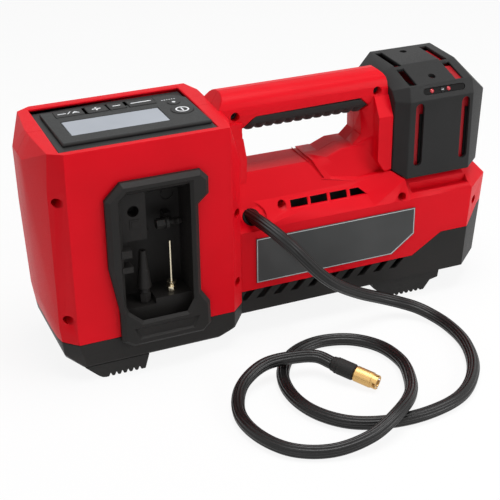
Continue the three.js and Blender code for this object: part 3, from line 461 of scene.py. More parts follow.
def soften(shape: Form, edge_round: Round, where: Callable[[Vector], bool]) -> None:
    """Rounds the sharp edges of a form, group by group, so that a tight corner narrows only its own.

    Args:
        shape: the form, changed in place.
        edge_round: how its edges are softened.
        where: says by an edge's middle, in bench mm, whether it may be rounded.
    """
    shape.normal_update()
    room = ROOM_FOR_ROUND * edge_round.width * MM
    chosen = [
        edge for edge in shape.edges
        if len(edge.link_faces) == 2
        and edge.calc_face_angle(0.0) > math.radians(edge_round.angle)
        and edge.calc_length() > edge_round.shortest * MM
        and all(near.calc_length() > room for vert in edge.verts for near in vert.link_edges)
        and where((edge.verts[0].co + edge.verts[1].co) / 2 / MM + MIDDLE)
    ]
    for group in linked_groups(chosen):
        whole = [edge for edge in group if edge.is_valid]
        round_edges(shape, whole, edge_round.width, edge_round.segments)


def dress(node: str, finish: Finish, edge_round: Optional[Round] = None,
          where: Callable[[Vector], bool] = anywhere) -> Thing:
    """Shows a CAD node with its finish, as it is or with softened edges.

    Args:
        node: the node's name.
        finish: what it is made of.
        edge_round: how its edges are softened; without it the node itself shows.
        where: says by an edge's middle, in bench mm, whether it may be rounded.

    Returns:
        The object that shows.
    """
    carried = frame["nodes"][node]
    if edge_round is None:
        paint(carried, finish)
        LOG.info("%s as it is, %s", node, finish.value.name)
        return carried
    shape = cad_copy(node)
    soften(shape, edge_round, where)
    thing = new_piece(node + "_rounded", shape, body_of(carried)[0], finish)
    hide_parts(node)
    return thing


def dress_alike(nodes: Iterable[str], finish: Finish, edge_round: Optional[Round] = None) -> None:
    """Dresses several nodes with one finish and one round."""
    for node in nodes:
        dress(node, finish, edge_round)


def merge(shapes: Sequence[Form]) -> Form:
    """Puts several forms into one bmesh.

    Args:
        shapes: the forms; all are freed.

    Returns:
        One bmesh that holds them all.
    """
    whole = bmesh.new()
    for shape in shapes:
        mesh = bpy.data.meshes.new("part")
        shape.to_mesh(mesh)
        shape.free()
        whole.from_mesh(mesh)
        bpy.data.meshes.remove(mesh)
    return whole


def block(low: Point, high: Point, width: float = 0.0) -> Form:
    """A box between two bench points, with rounded edges.

    Args:
        low: its lowest corner in bench mm.
        high: its highest corner in bench mm.
        width: the round of its edges in mm.

    Returns:
        The box in the model's frame.
    """
    shape = bmesh.new()
    bmesh.ops.create_cube(shape, size=1.0)
    size = Vector(high) - Vector(low)
    middle = (Vector(high) + Vector(low)) / 2
    bmesh.ops.scale(shape, vec=size * MM, verts=shape.verts)
    if width:
        round_edges(shape, shape.edges, width)
    bmesh.ops.translate(shape, vec=at(*middle), verts=shape.verts)
    return shape


def loose_block(low: Point, high: Point, width: float) -> Form:
    """A box measured from the origin, to be stood in its place.

    Args:
        low: its lowest corner in mm.
        high: its highest corner in mm.
        width: the round of its edges in mm.

    Returns:
        The box about the origin, in metres.
    """
    shape = block(low, high, width)
    bmesh.ops.translate(shape, vec=MIDDLE * MM, verts=shape.verts)
    return shape


def turned(profile: Sequence[Pair], steps: int = 48) -> Form:
    """A form turned on a lathe round the local Z axis at the origin.

    Args:
        profile: pairs of radius and height in mm, from one end of the axis to the other.
        steps: faces round the axis.

    Returns:
        The closed form, in metres.
    """
    shape = bmesh.new()
    points = [shape.verts.new((r * MM, 0.0, z * MM)) for r, z in profile]
    line = [shape.edges.new(pair) for pair in zip(points, points[1:])]
    bmesh.ops.spin(
        shape, geom=points + line, cent=(0, 0, 0), axis=(0, 0, 1), angle=math.tau, steps=steps,
        use_merge=True)
    bmesh.ops.remove_doubles(shape, verts=shape.verts, dist=TURNED_WELD)
    return shape


def hexagon(radius: float, height: float, width: float = 0.3) -> Form:
    """A hexagon bar that stands on the origin.

    Args:
        radius: from its axis to its corners in mm.
        height: its height in mm.
        width: the round of its edges in mm.

    Returns:
        The bar with rounded edges, in metres.
    """
    shape = bmesh.new()
    bmesh.ops.create_cone(
        shape, cap_ends=True, segments=6, radius1=radius * MM, radius2=radius * MM, depth=height * MM)
    round_edges(shape, shape.edges, width)
    bmesh.ops.translate(shape, vec=(0, 0, height / 2 * MM), verts=shape.verts)
    return shape


def stand(shape: Form, start: Vector, way: Vector, axis: Point = (0.0, 0.0, 1.0)) -> Form:
    """Moves a form so that one of its axes runs along a direction from a point.

    Args:
        shape: the form, changed in place.
        start: where its origin goes, in the model's frame.
        way: the direction that its axis takes.
        axis: the form's own axis.

    Returns:
        The same form.
    """
    turn = Vector(axis).rotation_difference(way.normalized()).to_matrix().to_4x4()
    bmesh.ops.transform(shape, matrix=Matrix.Translation(start) @ turn, verts=shape.verts)
    return shape


# ---------- studio
def seen_rays(tree: Tree) -> bpy.types.NodeSocket:
    """Tells the rays that look at the backdrop from those that light the object.

    Args:
        tree: the node tree it goes into.

    Returns:
        A socket that is 1 for rays from the camera, off gloss and through glass, and else 0.
    """
    rays = add_node(tree, "LightPath")
    seen = add_node(tree, "Math", {"operation": "MAXIMUM"}, links={
        0: rays.outputs["Is Camera Ray"], 1: rays.outputs["Is Glossy Ray"]})
    clear = add_node(tree, "Math", {"operation": "MAXIMUM"}, links={
        0: seen.outputs[0], 1: rays.outputs["Is Transmission Ray"]})
    return clear.outputs[0]


@dataclass
class Studio:
    """Camera, floor, world and lamps."""

    eye: Point = (-190.70, -881.66, 548.96)
    azimuth: float = -22.94
    elevation: float = 27.03
    roll: float = -0.68
    focal_mm: float = 88.34
    sensor_mm: float = 36.0
    nearest: float = 0.01
    farthest: float = 50.0
    paper_reach: float = 30.0
    paper_colour: str = "#F6F6F6"
    paper_roughness: float = 0.9
    paper_specular: float = 0.1
    paper_glow: float = 0.89
    surround: float = 0.22
    # Each softbox: name, place and target in metres, side in metres, power in watts.
    softboxes: tuple[tuple[str, Point, Point, float, float], ...] = (
        ("softbox_top", (0.1, -0.15, 1.6), (0.0, 0.0, 0.1), 0.9, 19.0),
        ("softbox_right", (1.3, -1.3, 0.9), (0.1, 0.0, 0.1), 0.9, 15.0),
        ("softbox_left", (-1.3, -1.2, 0.8), (0.0, 0.0, 0.1), 1.0, 3.0),
    )

    def camera(self) -> None:
        """Places the camera where the photograph was taken from."""
        turn, rise, roll = (math.radians(v) for v in (self.azimuth, self.elevation, self.roll))
        back = Vector((math.sin(turn) * math.cos(rise), -math.cos(turn) * math.cos(rise), math.sin(rise)))
        level = Vector((0, 0, 1)).cross(back).normalized()
        upright = back.cross(level)
        right = level * math.cos(roll) + upright * math.sin(roll)
        top = upright * math.cos(roll) - level * math.sin(roll)
        lens = bpy.data.cameras.new("camera")
        lens.lens = self.focal_mm
        lens.sensor_width = self.sensor_mm
        lens.clip_start = self.nearest
        lens.clip_end = self.farthest
        view = placed("camera", lens)
        place = Matrix((right, top, back)).transposed().to_4x4()
        place.translation = at(*self.eye)
        view.matrix_world = place
        bpy.context.scene.camera = view

    def floor(self) -> None:
        """Lays a wide pale floor that keeps the object's shadow and fades to white."""
        shape = bmesh.new()
        bmesh.ops.create_grid(shape, x_segments=2, y_segments=2, size=self.paper_reach)
        mesh = bpy.data.meshes.new("floor")
        shape.to_mesh(mesh)
        shape.free()
        floor = placed("floor", mesh)
        material, tree, shader = new_material("floor_white_paper", {
            "Base Color": linear(self.paper_colour), "Roughness": self.paper_roughness,
            "Specular IOR Level": self.paper_specular})
        # The camera, gloss and glass see the paper mostly self-lit, so it is white round the object's
        # shadow; the object itself gets only the paper's real bounce.
        share = add_node(tree, "Math", {"operation": "MULTIPLY"}, {1: self.paper_glow},
                         {0: seen_rays(tree)})
        glow = add_node(tree, "Emission", values={"Color": (1, 1, 1, 1), "Strength": 1.0})
        mixed = add_node(tree, "MixShader", links={
            0: share.outputs[0], 1: shader.outputs["BSDF"], 2: glow.outputs[0]})
        tree.links.new(mixed.outputs[0], tree.nodes["Material Output"].inputs["Surface"])
        mesh.materials.append(material)

    def world(self) -> None:
        """Sets a soft grey surround that the camera, gloss and glass see as white."""
        world = bpy.data.worlds.new("studio")
        world.use_nodes = True
        tree = world.node_tree
        tree.nodes.clear()
        seen = seen_rays(tree)
        soft, white = (
            add_node(tree, "Background", values={"Color": (1, 1, 1, 1), "Strength": strength})
            for strength in (self.surround, 1.0))
        mixed = add_node(tree, "MixShader", links={0: seen, 1: soft.outputs[0], 2: white.outputs[0]})
        add_node(tree, "OutputWorld", links={"Surface": mixed.outputs[0]})
        bpy.context.scene.world = world

    def lamp(self, name: str, place: Point, target: Point, size: float, watts: float) -> None:
        """Hangs one square softbox.

        Args:
            name: its name.
            place: where it hangs, in metres.
            target: what it points at, in metres.
            size: its side in metres.
            watts: its power.
        """
        light = bpy.data.lights.new(name, "AREA")
        light.shape = "SQUARE"
        light.size = size
        light.energy = watts
        box = placed(name, light)
        box.location = place
        box.rotation_euler = (Vector(target) - Vector(place)).to_track_quat("-Z", "Y").to_euler()

    def build(self) -> None:
        """Sets up the whole studio."""
        scene = bpy.context.scene
        scene.view_settings.view_transform = "Standard"
        self.camera()
        self.floor()
        self.world()
        for softbox in self.softboxes:
            self.lamp(*softbox)


# ---------- hose and chuck
@dataclass
class AirHose:
    """Rubber air hose, held by a plug in the shoulder, with a brass chuck at its free end."""

    radius: float = 5.4
    flutes: int = 10
    flute_depth: float = 0.6
    flute_points: int = 6
    fine_steps: int = 8
    crisp_degrees: float = 40.0
    route: list[Point] = field(default_factory=lambda: [
        (169.6, -27.2, 109.4), (173.3, -43.9, 109), (180.3, -57.9, 103.9), (190, -68, 94.2),
        (202, -70.6, 79.6), (216, -70, 63.6), (234, -67, 47.4), (258, -63, 32), (282, -61.5, 20.6),
        (298.5, -65, 14.2), (311, -73, 10.2), (319, -85, 7.4), (324, -103, 5.7), (322, -135, 5.6),
        (306, -172.5, 5.6), (277, -201, 5.6), (240, -211.5, 5.6), (205, -209, 5.6), (178.5, -197, 5.6),
        (161, -174.5, 5.6), (155, -146, 5.6), (161, -116, 5.6), (180, -92, 5.6), (208, -82.5, 5.6),
        (236, -90, 5.6), (253.5, -110, 5.7), (258, -138, 6.2), (248.5, -169, 9.8), (232, -197.5, 15.4),
        (211, -216, 17), (184, -226.5, 10.8), (152, -225.5, 6), (124.5, -212, 5.6), (109, -184.5, 5.6),
        (107.5, -152, 5.8), (121.5, -124.5, 10), (146, -111.5, 15.8), (172, -112.5, 17),
        (191.1, -117.2, 15.5), (199.5, -128.2, 13.4),
    ])
    chuck_way: Point = (0.597, -0.788, -0.152)
    collar_round: Round = Round(0.35)
    # The crimped sleeve: its bore, its front lip, two grip rings and the rim that the hose enters.
    ferrule_profile: tuple[Pair, ...] = (
        (3.3, 10), (3.3, 20.6), (5.9, 20.6), (6.6, 20.1), (6.9, 19.3), (6.9, 6.4), (6.55, 6.1),
        (6.55, 5.6), (6.9, 5.3), (6.9, 4.4), (6.5, 4.1), (6.5, 3.5), (6.2, 3.2), (6.1, 1.2), (5.9, 0.5),
        (4.0, 0.3), (0.0, 0.3), (0.0, 10), (3.3, 10),
    )

    def centreline(self) -> list[Vector]:
        """The hose's line through the route, on a centripetal curve.

        Returns:
            Its close points, in the model's frame.
        """
        points = [at(*p) for p in self.route]
        points = [points[0] * 2 - points[1], *points, points[-1] * 2 - points[-2]]
        line = []
        for i in range(1, len(points) - 2):
            p0, p1, p2, p3 = points[i - 1:i + 3]
            t1 = (p1 - p0).length ** 0.5
            t2 = t1 + (p2 - p1).length ** 0.5
            t3 = t2 + (p3 - p2).length ** 0.5
            for step in range(self.fine_steps):
                t = t1 + (t2 - t1) * step / self.fine_steps
                a1 = p0.lerp(p1, t / t1)
                a2 = p1.lerp(p2, (t - t1) / (t2 - t1))
                a3 = p2.lerp(p3, (t - t2) / (t3 - t2))
                b1 = a1.lerp(a2, t / t2)
                b2 = a2.lerp(a3, (t - t1) / (t3 - t1))
                line.append(b1.lerp(b2, (t - t1) / (t2 - t1)))
        return [*line, points[-2]]

    def curve(self, name: str, points: Sequence[Vector], cyclic: bool = False) -> Thing:
        """A poly curve object through points.

        Args:
            name: its name.
            points: the points, in metres.
            cyclic: whether it closes on itself.

        Returns:
            The new object, linked to the scene.
        """
        curve = bpy.data.curves.new(name, "CURVE")
        curve.dimensions = "3D"
        spline = curve.splines.new("POLY")
        spline.points.add(len(points) - 1)
        for slot, point in zip(spline.points, points):
            slot.co = (*point, 1.0)
        spline.use_cyclic_u = cyclic
        return placed(name, curve)

    def hose(self, line: Sequence[Vector]) -> Thing:
        """Sweeps the hose's section, rounded lobes with narrow valleys, along its line.

        Args:
            line: the points of its centreline.

        Returns:
            The hose, riding on the inflator.
        """
        corners = self.flutes * self.flute_points
        section = [
            Vector((math.cos(a), math.sin(a), 0)) * MM
            * (self.radius - self.flute_depth * (1 - abs(math.sin(a * self.flutes / 2))))
            for a in (math.tau * i / corners for i in range(corners))
        ]
        profile = self.curve("hose_section", section, cyclic=True)
        swept = self.curve("hose_line", line)
        swept.data.bevel_mode = "OBJECT"
        swept.data.bevel_object = profile
        swept.data.use_fill_caps = True
        bpy.context.view_layer.update()
        shown = swept.evaluated_get(bpy.context.evaluated_depsgraph_get())
        mesh = bpy.data.meshes.new_from_object(shown)
        for helper in (swept, profile):
            bpy.data.objects.remove(helper)
        mesh.name = "air_hose_fluted"
        mesh.shade_smooth()
        mesh.set_sharp_from_angle(angle=math.radians(self.crisp_degrees))
        hose = placed("air_hose_fluted", mesh)
        paint(hose, Finish.HOSE_RUBBER)
        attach(hose, "inflator")
        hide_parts("air_hose")
        return hose

    def ferrule(self) -> Thing:
        """Turns the crimped rubber sleeve with its two grip rings.

        Returns:
            The sleeve, riding on the inflator.
        """
        shape = stand(turned(self.ferrule_profile), at(*self.route[-1]), Vector(self.chuck_way))
        ferrule = new_piece("hose_ferrule_turned", shape, "inflator", Finish.SOFT_RUBBER)
        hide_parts("hose_ferrule")
        return ferrule

    def build(self) -> None:
        line = self.centreline()
        hose = self.hose(line)
        ferrule = self.ferrule()
        # The gland is black nylon, darkened further with painted shade for the dark hole that the hose
        # enters.
        gland = dress("hose_gland", Finish.INNER_NYLON)
        collar = dress("chuck_collar", Finish.TURNED_BRASS, self.collar_round)
        stem = dress("chuck_stem", Finish.TURNED_BRASS)


# ---------- sub-assemblies
@dataclass
class Housing:
    """The two red halves, the grip moulded on the handle and the nine screws."""

    half_round: Round = Round(1.1, angle=22.0, shortest=4.0)
    grip_round: Round = Round(0.4, angle=40.0, shortest=3.0)
    screw_round: Round = Round(0.3, angle=40.0)
    # Edges this close to the middle plane, where the halves meet, stay sharp.
    seam: float = 1.0
    # So do those of the narrow groove in the deck: where it starts and ends in x, and its lowest z.
    groove_x: Pair = (226.0, 244.0)
    groove_z: float = 126.0
    # The baffle behind the cooling slots of a side, a nearly black stand-in for the shade inside them; its
    # depth is measured outwards from the middle.
    baffle_x: Pair = (203.0, 286.0)
    baffle_depth: Pair = (20.6, 22.4)
    baffle_z: Pair = (104.0, 116.6)
    baffle_round: float = 0.4
    # Its slats: how many, the first one's x, their spacing, height, how far they stand out, round.
    slat_count: int = 5
    slat_x: Pair = (204.0, 206.0)
    slat_pitch: float = 18.6
    slat_z: Pair = (104.5, 116.4)
    slat_relief: float = 0.4
    slat_round: float = 0.3

    def baffles(self) -> None:
        """Sets a slatted baffle behind the cooling slots of each side, nearly black as painted shade."""
        for side, name in ((-1, "vent_shade_baffle_front"), (1, "vent_shade_baffle_back")):
            y0, y1 = sorted(side * depth for depth in self.baffle_depth)
            plate = block((self.baffle_x[0], y0, self.baffle_z[0]), (self.baffle_x[1], y1, self.baffle_z[1]),
                          self.baffle_round)
            slats = [
                block((self.slat_x[0] + shift, y0 - self.slat_relief, self.slat_z[0]),
                      (self.slat_x[1] + shift, y1 + self.slat_relief, self.slat_z[1]), self.slat_round)
                for shift in (i * self.slat_pitch for i in range(self.slat_count))
            ]
            new_piece(name, merge([plate, *slats]), "inflator", Finish.INNER_NYLON)

    def may_round(self, middle: Vector) -> bool:
        """Says whether an edge of a half with this middle, in bench mm, is softened."""
        in_groove = self.groove_x[0] < middle.x < self.groove_x[1] and middle.z > self.groove_z
        return abs(middle.y) > self.seam and not in_groove

    def build(self) -> None:
        """Dresses the halves, the grip and the screws and sets the baffles."""
        for node in ("housing_front", "housing_back"):
            dress(node, Finish.RED_NYLON, self.half_round, self.may_round)
        dress("handle_grip", Finish.SOFT_RUBBER, self.grip_round)
        screws = [node for node in frame["nodes"] if node.startswith("screw_")]
        dress_alike(screws, Finish.BLACK_OXIDE, self.screw_round)
        self.baffles()


@dataclass
class LowerShell:
    """Black lower shells of head and body with their four toothed rubber feet."""

    shell_round: Round = Round(1.0, angle=22.0, shortest=4.0)
    foot_round: Round = Round(0.5, shortest=1.5)

    def build(self) -> None:
        """Dresses both shells and the feet."""
        dress_alike(("head_base", "body_base"), Finish.BLACK_NYLON, self.shell_round)
        dress_alike(("foot_head_front", "foot_head_back", "foot_body_front", "foot_body_back"),
                    Finish.SOFT_RUBBER, self.foot_round)


@dataclass(frozen=True)
class Fitting:
    """One turned fitting of the storage tray, on a hexagon foot.

    The place is its foot's end in bench mm, the way its axis runs. The hexagon gives corner radius
    and height, the profile pairs of radius and height over the foot's end, all in mm.
    """

    node: str
    finish: Finish
    place: Point
    way: Point
    hexagon: Pair
    steps: int
    profile: tuple[Pair, ...]

    def build(self) -> None:
        """Turns the fitting and stands it in its place."""
        shape = merge([turned(self.profile, self.steps), hexagon(*self.hexagon)])
        stand(shape, at(*self.place), Vector(self.way))
        fitting = new_piece(self.node + "_turned", shape, self.node, self.finish)
        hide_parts(self.node)


@dataclass
class StorageBay:
    """The tray in the head's front and the three fittings kept in it."""

    # Ball needle: collar and thin tube. Cone nozzle: flange, taper, bore. Valve adapter: flange and barbs.
    fittings: tuple[Fitting, ...] = (
        Fitting("ball_needle", Finish.NICKEL, (94.5, -42.0, 62.0), (0.0, 0.0, 1.0), (4.2, 4.4), 32, (
            (0, 3.9), (2.4, 4.0), (2.4, 5.8), (2.9, 6.2), (4.1, 8.0), (4.1, 8.5), (1.6, 9.0), (1.1, 9.6),
            (1.1, 44.2), (0.8, 45.4), (0.0, 46.0))),
        Fitting("cone_nozzle", Finish.BLACK_NYLON, (71.0, -42.0, 57.3), (0.0, 0.0, 1.0), (5.2, 8.5), 40, (
            (0, 8.4), (4.2, 8.5), (4.2, 12.4), (5.6, 12.8), (6.0, 13.4), (5.7, 17), (4.6, 29), (4.5, 29.4),
            (4.2, 29.8), (3.3, 42), (3.1, 45), (2.8, 46.1), (1.4, 46.2), (1.4, 25), (0, 25))),
        Fitting("valve_adapter", Finish.BLACK_NYLON, (84.0, -40.0, 123.0), (1.0, 0.0, 0.0), (4.6, 7.6), 32, (
            (0, 7.5), (5.0, 7.5), (5.5, 7.9), (5.5, 10.1), (5.1, 10.5), (2.6, 10.8), (2.6, 13.8),
            (3.4, 14.4), (2.6, 16.6), (2.6, 18.2), (3.1, 18.7), (2.5, 21.4), (2.2, 22), (1.2, 22),
            (1.2, 14), (0, 14))),
    )
    # The square pad in the tray's upper left corner: a plate and the raised field on it.
    pad_blocks: tuple[Span, ...] = (
        ((61.2, -44.5, 124.2), (69.6, -43.9, 132.4)), ((62.6, -44.8, 125.6), (68.2, -44.3, 131.0)))
    pad_round: float = 0.25
    pin_profile: tuple[Pair, ...] = ((0, -1.0), (1.6, -1.0), (1.6, 0.9), (1.1, 1.4), (0, 1.5))
    pin_steps: int = 20
    pin_place: Point = (80.5, -25.4, 112.5)
    pin_way: Point = (0.0, -1.0, 0.0)

    def details(self) -> None:
        """Adds what the tray carries besides: the square pad and a locating pin."""
        pad = [block(low, high, self.pad_round) for low, high in self.pad_blocks]
        pin = stand(turned(self.pin_profile, self.pin_steps), at(*self.pin_place), Vector(self.pin_way))
        new_piece("bay_pad_and_pin", merge([*pad, pin]), "inflator", Finish.BLACK_NYLON)

    def build(self) -> None:
        """Dresses the tray and its fittings."""
        dress("accessory_bay", Finish.BLACK_NYLON)
        for fitting in self.fittings:
            fitting.build()
        self.details()


@dataclass
class DisplayHead:
    """Display panel with bezel, window, keypad and the boards below."""

    panel_round: Round = Round(0.6, shortest=3.0)
    bezel_round: Round = Round(0.7, segments=3, shortest=3.0)
    key_round: Round = Round(0.7, segments=3)
    button_round: Round = Round(0.6, segments=3, angle=40.0, shortest=0.3)
    window_round: Round = Round(0.3)
    key_top: float = 202.9
    # The ink: how far it stands out of a key's top and is sunk in it, its edge and a stroke's width.
    ink: float = 0.12
    ink_sunk: float = 0.05
    ink_round: float = 0.1
    stroke_width: float = 0.9
    # The dashes behind the light button: the first one's corners, how many, their spacing, edge.
    dash: Span = ((114.0, 20.6, 202.35), (115.3, 21.6, 202.48))
    dash_count: int = 6
    dash_pitch: float = 2.1
    dash_round: float = 0.05

    def bar(self, x0: float, x1: float, y0: float, y1: float) -> Form:
        """A straight stroke of ink on a key's top, between two corners in bench mm."""
        low, high = self.key_top - self.ink_sunk, self.key_top + self.ink
        return block((x0, y0, low), (x1, y1, high), self.ink_round)

    def stroke(self, start: Pair, end: Pair) -> Form:
        """A slanting stroke of ink on a key's top.

        Args:
            start: one end's x and y in bench mm.
            end: the other end's.

        Returns:
            The stroke as a rounded bar.
        """
        way = Vector((end[0] - start[0], end[1] - start[1], 0.0))
        half = self.stroke_width / 2
        shape = loose_block((0, -half, -self.ink_sunk), (way.length, half, self.ink), self.ink_round)
        return stand(shape, at(*start, self.key_top), way, (1.0, 0.0, 0.0))

    def ring(self, x: float, y: float, outer: float, inner: float) -> Form:
        """A printed ring, or a dot if its inner radius is next to nothing.

        Args:
            x: its middle in bench mm.
            y: the same.
            outer: its outer radius in mm.
            inner: its inner radius in mm.

        Returns:
            The ring on a key's top.
        """
        low, high = -self.ink_sunk, self.ink
        shape = turned([(inner, low), (outer, low), (outer, high), (inner, high), (inner, low)])
        bmesh.ops.translate(shape, vec=at(x, y, self.key_top), verts=shape.verts)
        return shape

    def marks(self) -> None:
        """Prints the generic marks on the keys: dash and arrow, plus, minus, line, dot and on/off."""
        marks = {
            "key_units": [
                self.bar(27.5, 34.5, 22.8, 24.0), self.stroke((35.4, 21.6), (38.6, 26.4)),
                self.stroke((39.6, 21.8), (42.4, 25.9)), self.stroke((42.2, 25.9), (45.0, 21.8)),
                self.bar(40.8, 43.8, 22.5, 23.4),
            ],
            "key_plus": [self.bar(56.0, 63.2, 23.3, 24.7), self.bar(58.9, 60.3, 20.6, 27.4)],
            "key_minus": [self.bar(73.4, 79.8, 23.3, 24.7)],
            "key_preset": [self.bar(88.6, 106.0, 23.2, 24.7)],
            "light_button": [self.ring(121.8, 12.9, 1.5, 0.0001)],
            "power_button": [self.ring(122.5, -5.7, 5.6, 4.2), self.bar(121.8, 123.2, -9.0, -2.4)],
        }
        for node, strokes in marks.items():
            body = body_of(frame["nodes"][node])[0]
            new_piece(node + "_print", merge(strokes), body, Finish.PRINT_INK)
        legend = [
            block(*((x + i * self.dash_pitch, y, z) for x, y, z in self.dash), self.dash_round)
            for i in range(self.dash_count)
        ]
        new_piece("light_button_dashes", merge(legend), "inflator", Finish.PRINT_INK)

    def build(self) -> None:
        """Dresses the panel and everything on it."""
        dress("display_panel", Finish.PANEL_ABS, self.panel_round)
        dress("display_bezel", Finish.PANEL_ABS, self.bezel_round)
        dress_alike(("key_units", "key_plus", "key_minus", "key_preset"), Finish.KEY_RUBBER, self.key_round)
        dress_alike(("light_button", "power_button"), Finish.KEY_RUBBER, self.button_round)
        dress("display_window", Finish.LCD_GLASS, self.window_round)
        dress("lcd_module", Finish.LCD_GLASS)
        dress_alike(("display_board", "control_board"), Finish.SOLDER_LACQUER)
        self.marks()


@dataclass
class BatteryPack:
    """Slide-on battery: case, inner shell, cells, gauge and latch."""

    case_round: Round = Round(0.9, angle=22.0, shortest=4.0)
    core_round: Round = Round(0.8, shortest=4.0)
    latch_round: Round = Round(0.8, segments=3, shortest=2.0)
    # The charge gauge leans back: where its face stands in y and z, and the direction it looks in.
    gauge_y: float = -35.9
    gauge_z: float = 195.8
    gauge_out: Point = (0.0, -0.87, 0.493)
    # Its two lamps: their x, how deep their seat lies behind the face, and their dome.
    lamp_x: Pair = (336.5, 352.8)
    lamp_sunk: float = 0.9
    lamp_profile: tuple[Pair, ...] = (
        (0.0, -0.4), (1.9, -0.4), (1.9, 0.1), (1.6, 0.6), (0.9, 0.95), (0.0, 1.05))
    lamp_steps: int = 24
    # The pale bar on the gauge's button: the button's x and depth, the bar's corners and edge.
    button_x: float = 346.7
    button_sunk: float = 0.3
    button_bar: Span = ((-0.9, -0.3, -0.05), (0.9, 0.3, 0.08))
    button_bar_round: float = 0.04
    # What shows through the slots: nearly black strips in front and a cover under the left top slot, both
    # painted shade for the slots' dark inside.
    shade_strips: tuple[Span, ...] = (
        ((325.9, -35.6, 131.0), (329.0, -34.2, 176.0)), ((370.9, -35.6, 131.0), (374.0, -34.2, 176.0)))
    shade_strip_round: float = 0.3
    shade_cover: tuple[Span, ...] = (
        ((317.3, -31.0, 196.1), (325.6, -5.0, 198.2)), ((317.3, -5.0, 196.1), (325.6, 34.0, 200.5)))
    shade_cover_round: float = 0.8
    # The ribs under the right top slot: their x, their foot's height and round, then each one's
    # front end, back end, front height and back height.
    rib_x: Pair = (363.2, 371.5)
    rib_foot: float = 195.6
    rib_round: float = 1.2
    ribs: tuple[tuple[float, float, float, float], ...] = (
        (-30.0, -8.0, 200.0, 205.5), (-3.0, 31.0, 206.0, 207.5))

    def on_gauge(self, shape: Form, x: float, sunk: float) -> Form:
        """Stands a small form on the charge gauge.

        Args:
            shape: the form, its axis up.
            x: where it stands, in bench mm.
            sunk: how far its origin lies behind the gauge's face, in mm.

        Returns:
            The same form.
        """
        out = Vector(self.gauge_out)
        return stand(shape, at(*(Vector((x, self.gauge_y, self.gauge_z)) - out * sunk)), out)

    def lamps(self) -> None:
        """Turns the two domed lamps of the charge gauge."""
        domes = [self.on_gauge(turned(self.lamp_profile, self.lamp_steps), x, self.lamp_sunk)
                 for x in self.lamp_x]
        new_piece("gauge_lamps", merge(domes), "battery", Finish.LAMP_EPOXY)

    def linings(self) -> None:
        """Builds what shows through the case's slots: nearly black strips and cover as painted shade, and
        the inner shell's ribs.
        """
        shade_strips = [block(low, high, self.shade_strip_round) for low, high in self.shade_strips]
        shade_cover = [block(low, high, self.shade_cover_round) for low, high in self.shade_cover]
        new_piece("battery_slot_shade", merge([*shade_strips, *shade_cover]), "battery", Finish.INNER_NYLON)
        ribs = merge([self.rib(*rib) for rib in self.ribs])
        new_piece("battery_core_ribs", ribs, "battery", Finish.DEEP_RED_ABS)

    def rib(self, y0: float, y1: float, front_z: float, back_z: float) -> Form:
        """An upright rib under the right top slot whose top rises towards the back.

        Args:
            y0: its front end in bench mm.
            y1: its back end.
            front_z: its height at the front end.
            back_z: its height at the back end.

        Returns:
            The rib with rounded edges.
        """
        shape = block((self.rib_x[0], y0, self.rib_foot), (self.rib_x[1], y1, front_z))
        middle = at(0, (y0 + y1) / 2, (self.rib_foot + front_z) / 2)
        for vert in shape.verts:
            if vert.co.z > middle.z and vert.co.y > middle.y:
                vert.co.z = back_z * MM
        round_edges(shape, shape.edges, self.rib_round)
        return shape

    def button_mark(self) -> None:
        """Prints the small pale bar on the gauge's button."""
        shape = self.on_gauge(
            loose_block(*self.button_bar, self.button_bar_round), self.button_x, self.button_sunk)
        new_piece("gauge_button_print", shape, "battery", Finish.PRINT_INK)

    def build(self) -> None:
        """Dresses the battery."""
        dress("battery_case", Finish.CHARCOAL_ABS, self.case_round)
        dress("battery_core", Finish.DEEP_RED_ABS, self.core_round)
        dress("battery_base", Finish.BLACK_NYLON)
        dress("cell_block", Finish.CELL_FILM)
        dress("gauge_lens", Finish.INNER_NYLON)
        dress("gauge_button", Finish.KEY_RUBBER)
        dress("release_latch", Finish.DEEP_RED_ABS, self.latch_round)
        dress_alike(("battery_rail", "terminal_block"), Finish.BLACK_NYLON)
        self.lamps()
        self.linings()
        self.button_mark()


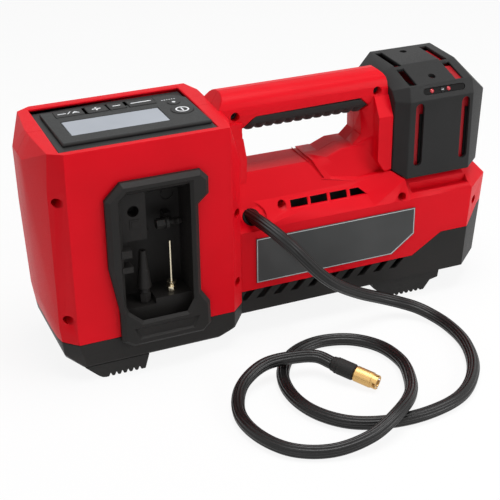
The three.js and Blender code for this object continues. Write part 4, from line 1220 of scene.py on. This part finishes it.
@dataclass
class LabelPlate:
    """Bare label plate on the body's front, with a thin pale border."""

    plate_round: Round = Round(0.3, shortest=2.0)
    # The plate's corners in x and z, a point inside them, and its face's y.
    outline: tuple[Pair, ...] = (
        (170.6, 51.0), (300.7, 51.0), (322.3, 67.0), (322.3, 92.5), (170.6, 92.5))
    inside: Pair = (246.0, 72.0)
    face: float = -42.3
    # The border's section: how far inside the plate's edge and how far out of its face.
    section: tuple[Pair, ...] = ((0.5, -0.02), (0.5, 0.06), (1.15, 0.06), (1.15, -0.02))

    def border(self) -> None:
        """Lays the pale border just inside the plate's edge."""
        shape = bmesh.new()
        rings = [
            [shape.verts.new(at(
                x - math.copysign(inset, x - self.inside[0]), self.face - lift,
                z - math.copysign(inset, z - self.inside[1]))) for x, z in self.outline]
            for inset, lift in self.section
        ]
        count = len(self.outline)
        for one, two in zip(rings, rings[1:]):
            for i in range(count):
                shape.faces.new((one[i], one[(i + 1) % count], two[(i + 1) % count], two[i]))
        new_piece("label_plate_border", shape, "inflator", Finish.LABEL_EDGE)

    def build(self) -> None:
        """Dresses the plate and its border."""
        dress("label_plate", Finish.LABEL_FILM, self.plate_round)
        self.border()


@dataclass
class PumpWorks:
    """Motor, gear, crank and cylinder inside the body."""

    def build(self) -> None:
        """Gives each inner piece its finish."""
        # The plate takes the dark black oxide as painted shade, for the dark inside of the body.
        dress("pump_plate", Finish.BLACK_OXIDE)
        dress_alike(("motor_can", "motor_rotor", "drive_gear"), Finish.ZINC_STEEL)
        dress_alike(("connecting_rod", "pump_cylinder", "pump_piston", "cylinder_head"),
                    Finish.CAST_ALUMINIUM)
        dress_alike(("cooling_fan", "air_line"), Finish.NATURAL_NYLON)
        dress("power_lead", Finish.HOSE_RUBBER)


def main() -> None:
    """Builds the studio and every sub-assembly in order."""
    for part in (Studio(), AirHose(), Housing(), LowerShell(), StorageBay(), DisplayHead(),
                 BatteryPack(), LabelPlate(), PumpWorks()):
        LOG.info("building %s", type(part).__name__)
        part.build()


if __name__ == "__main__":
    main()
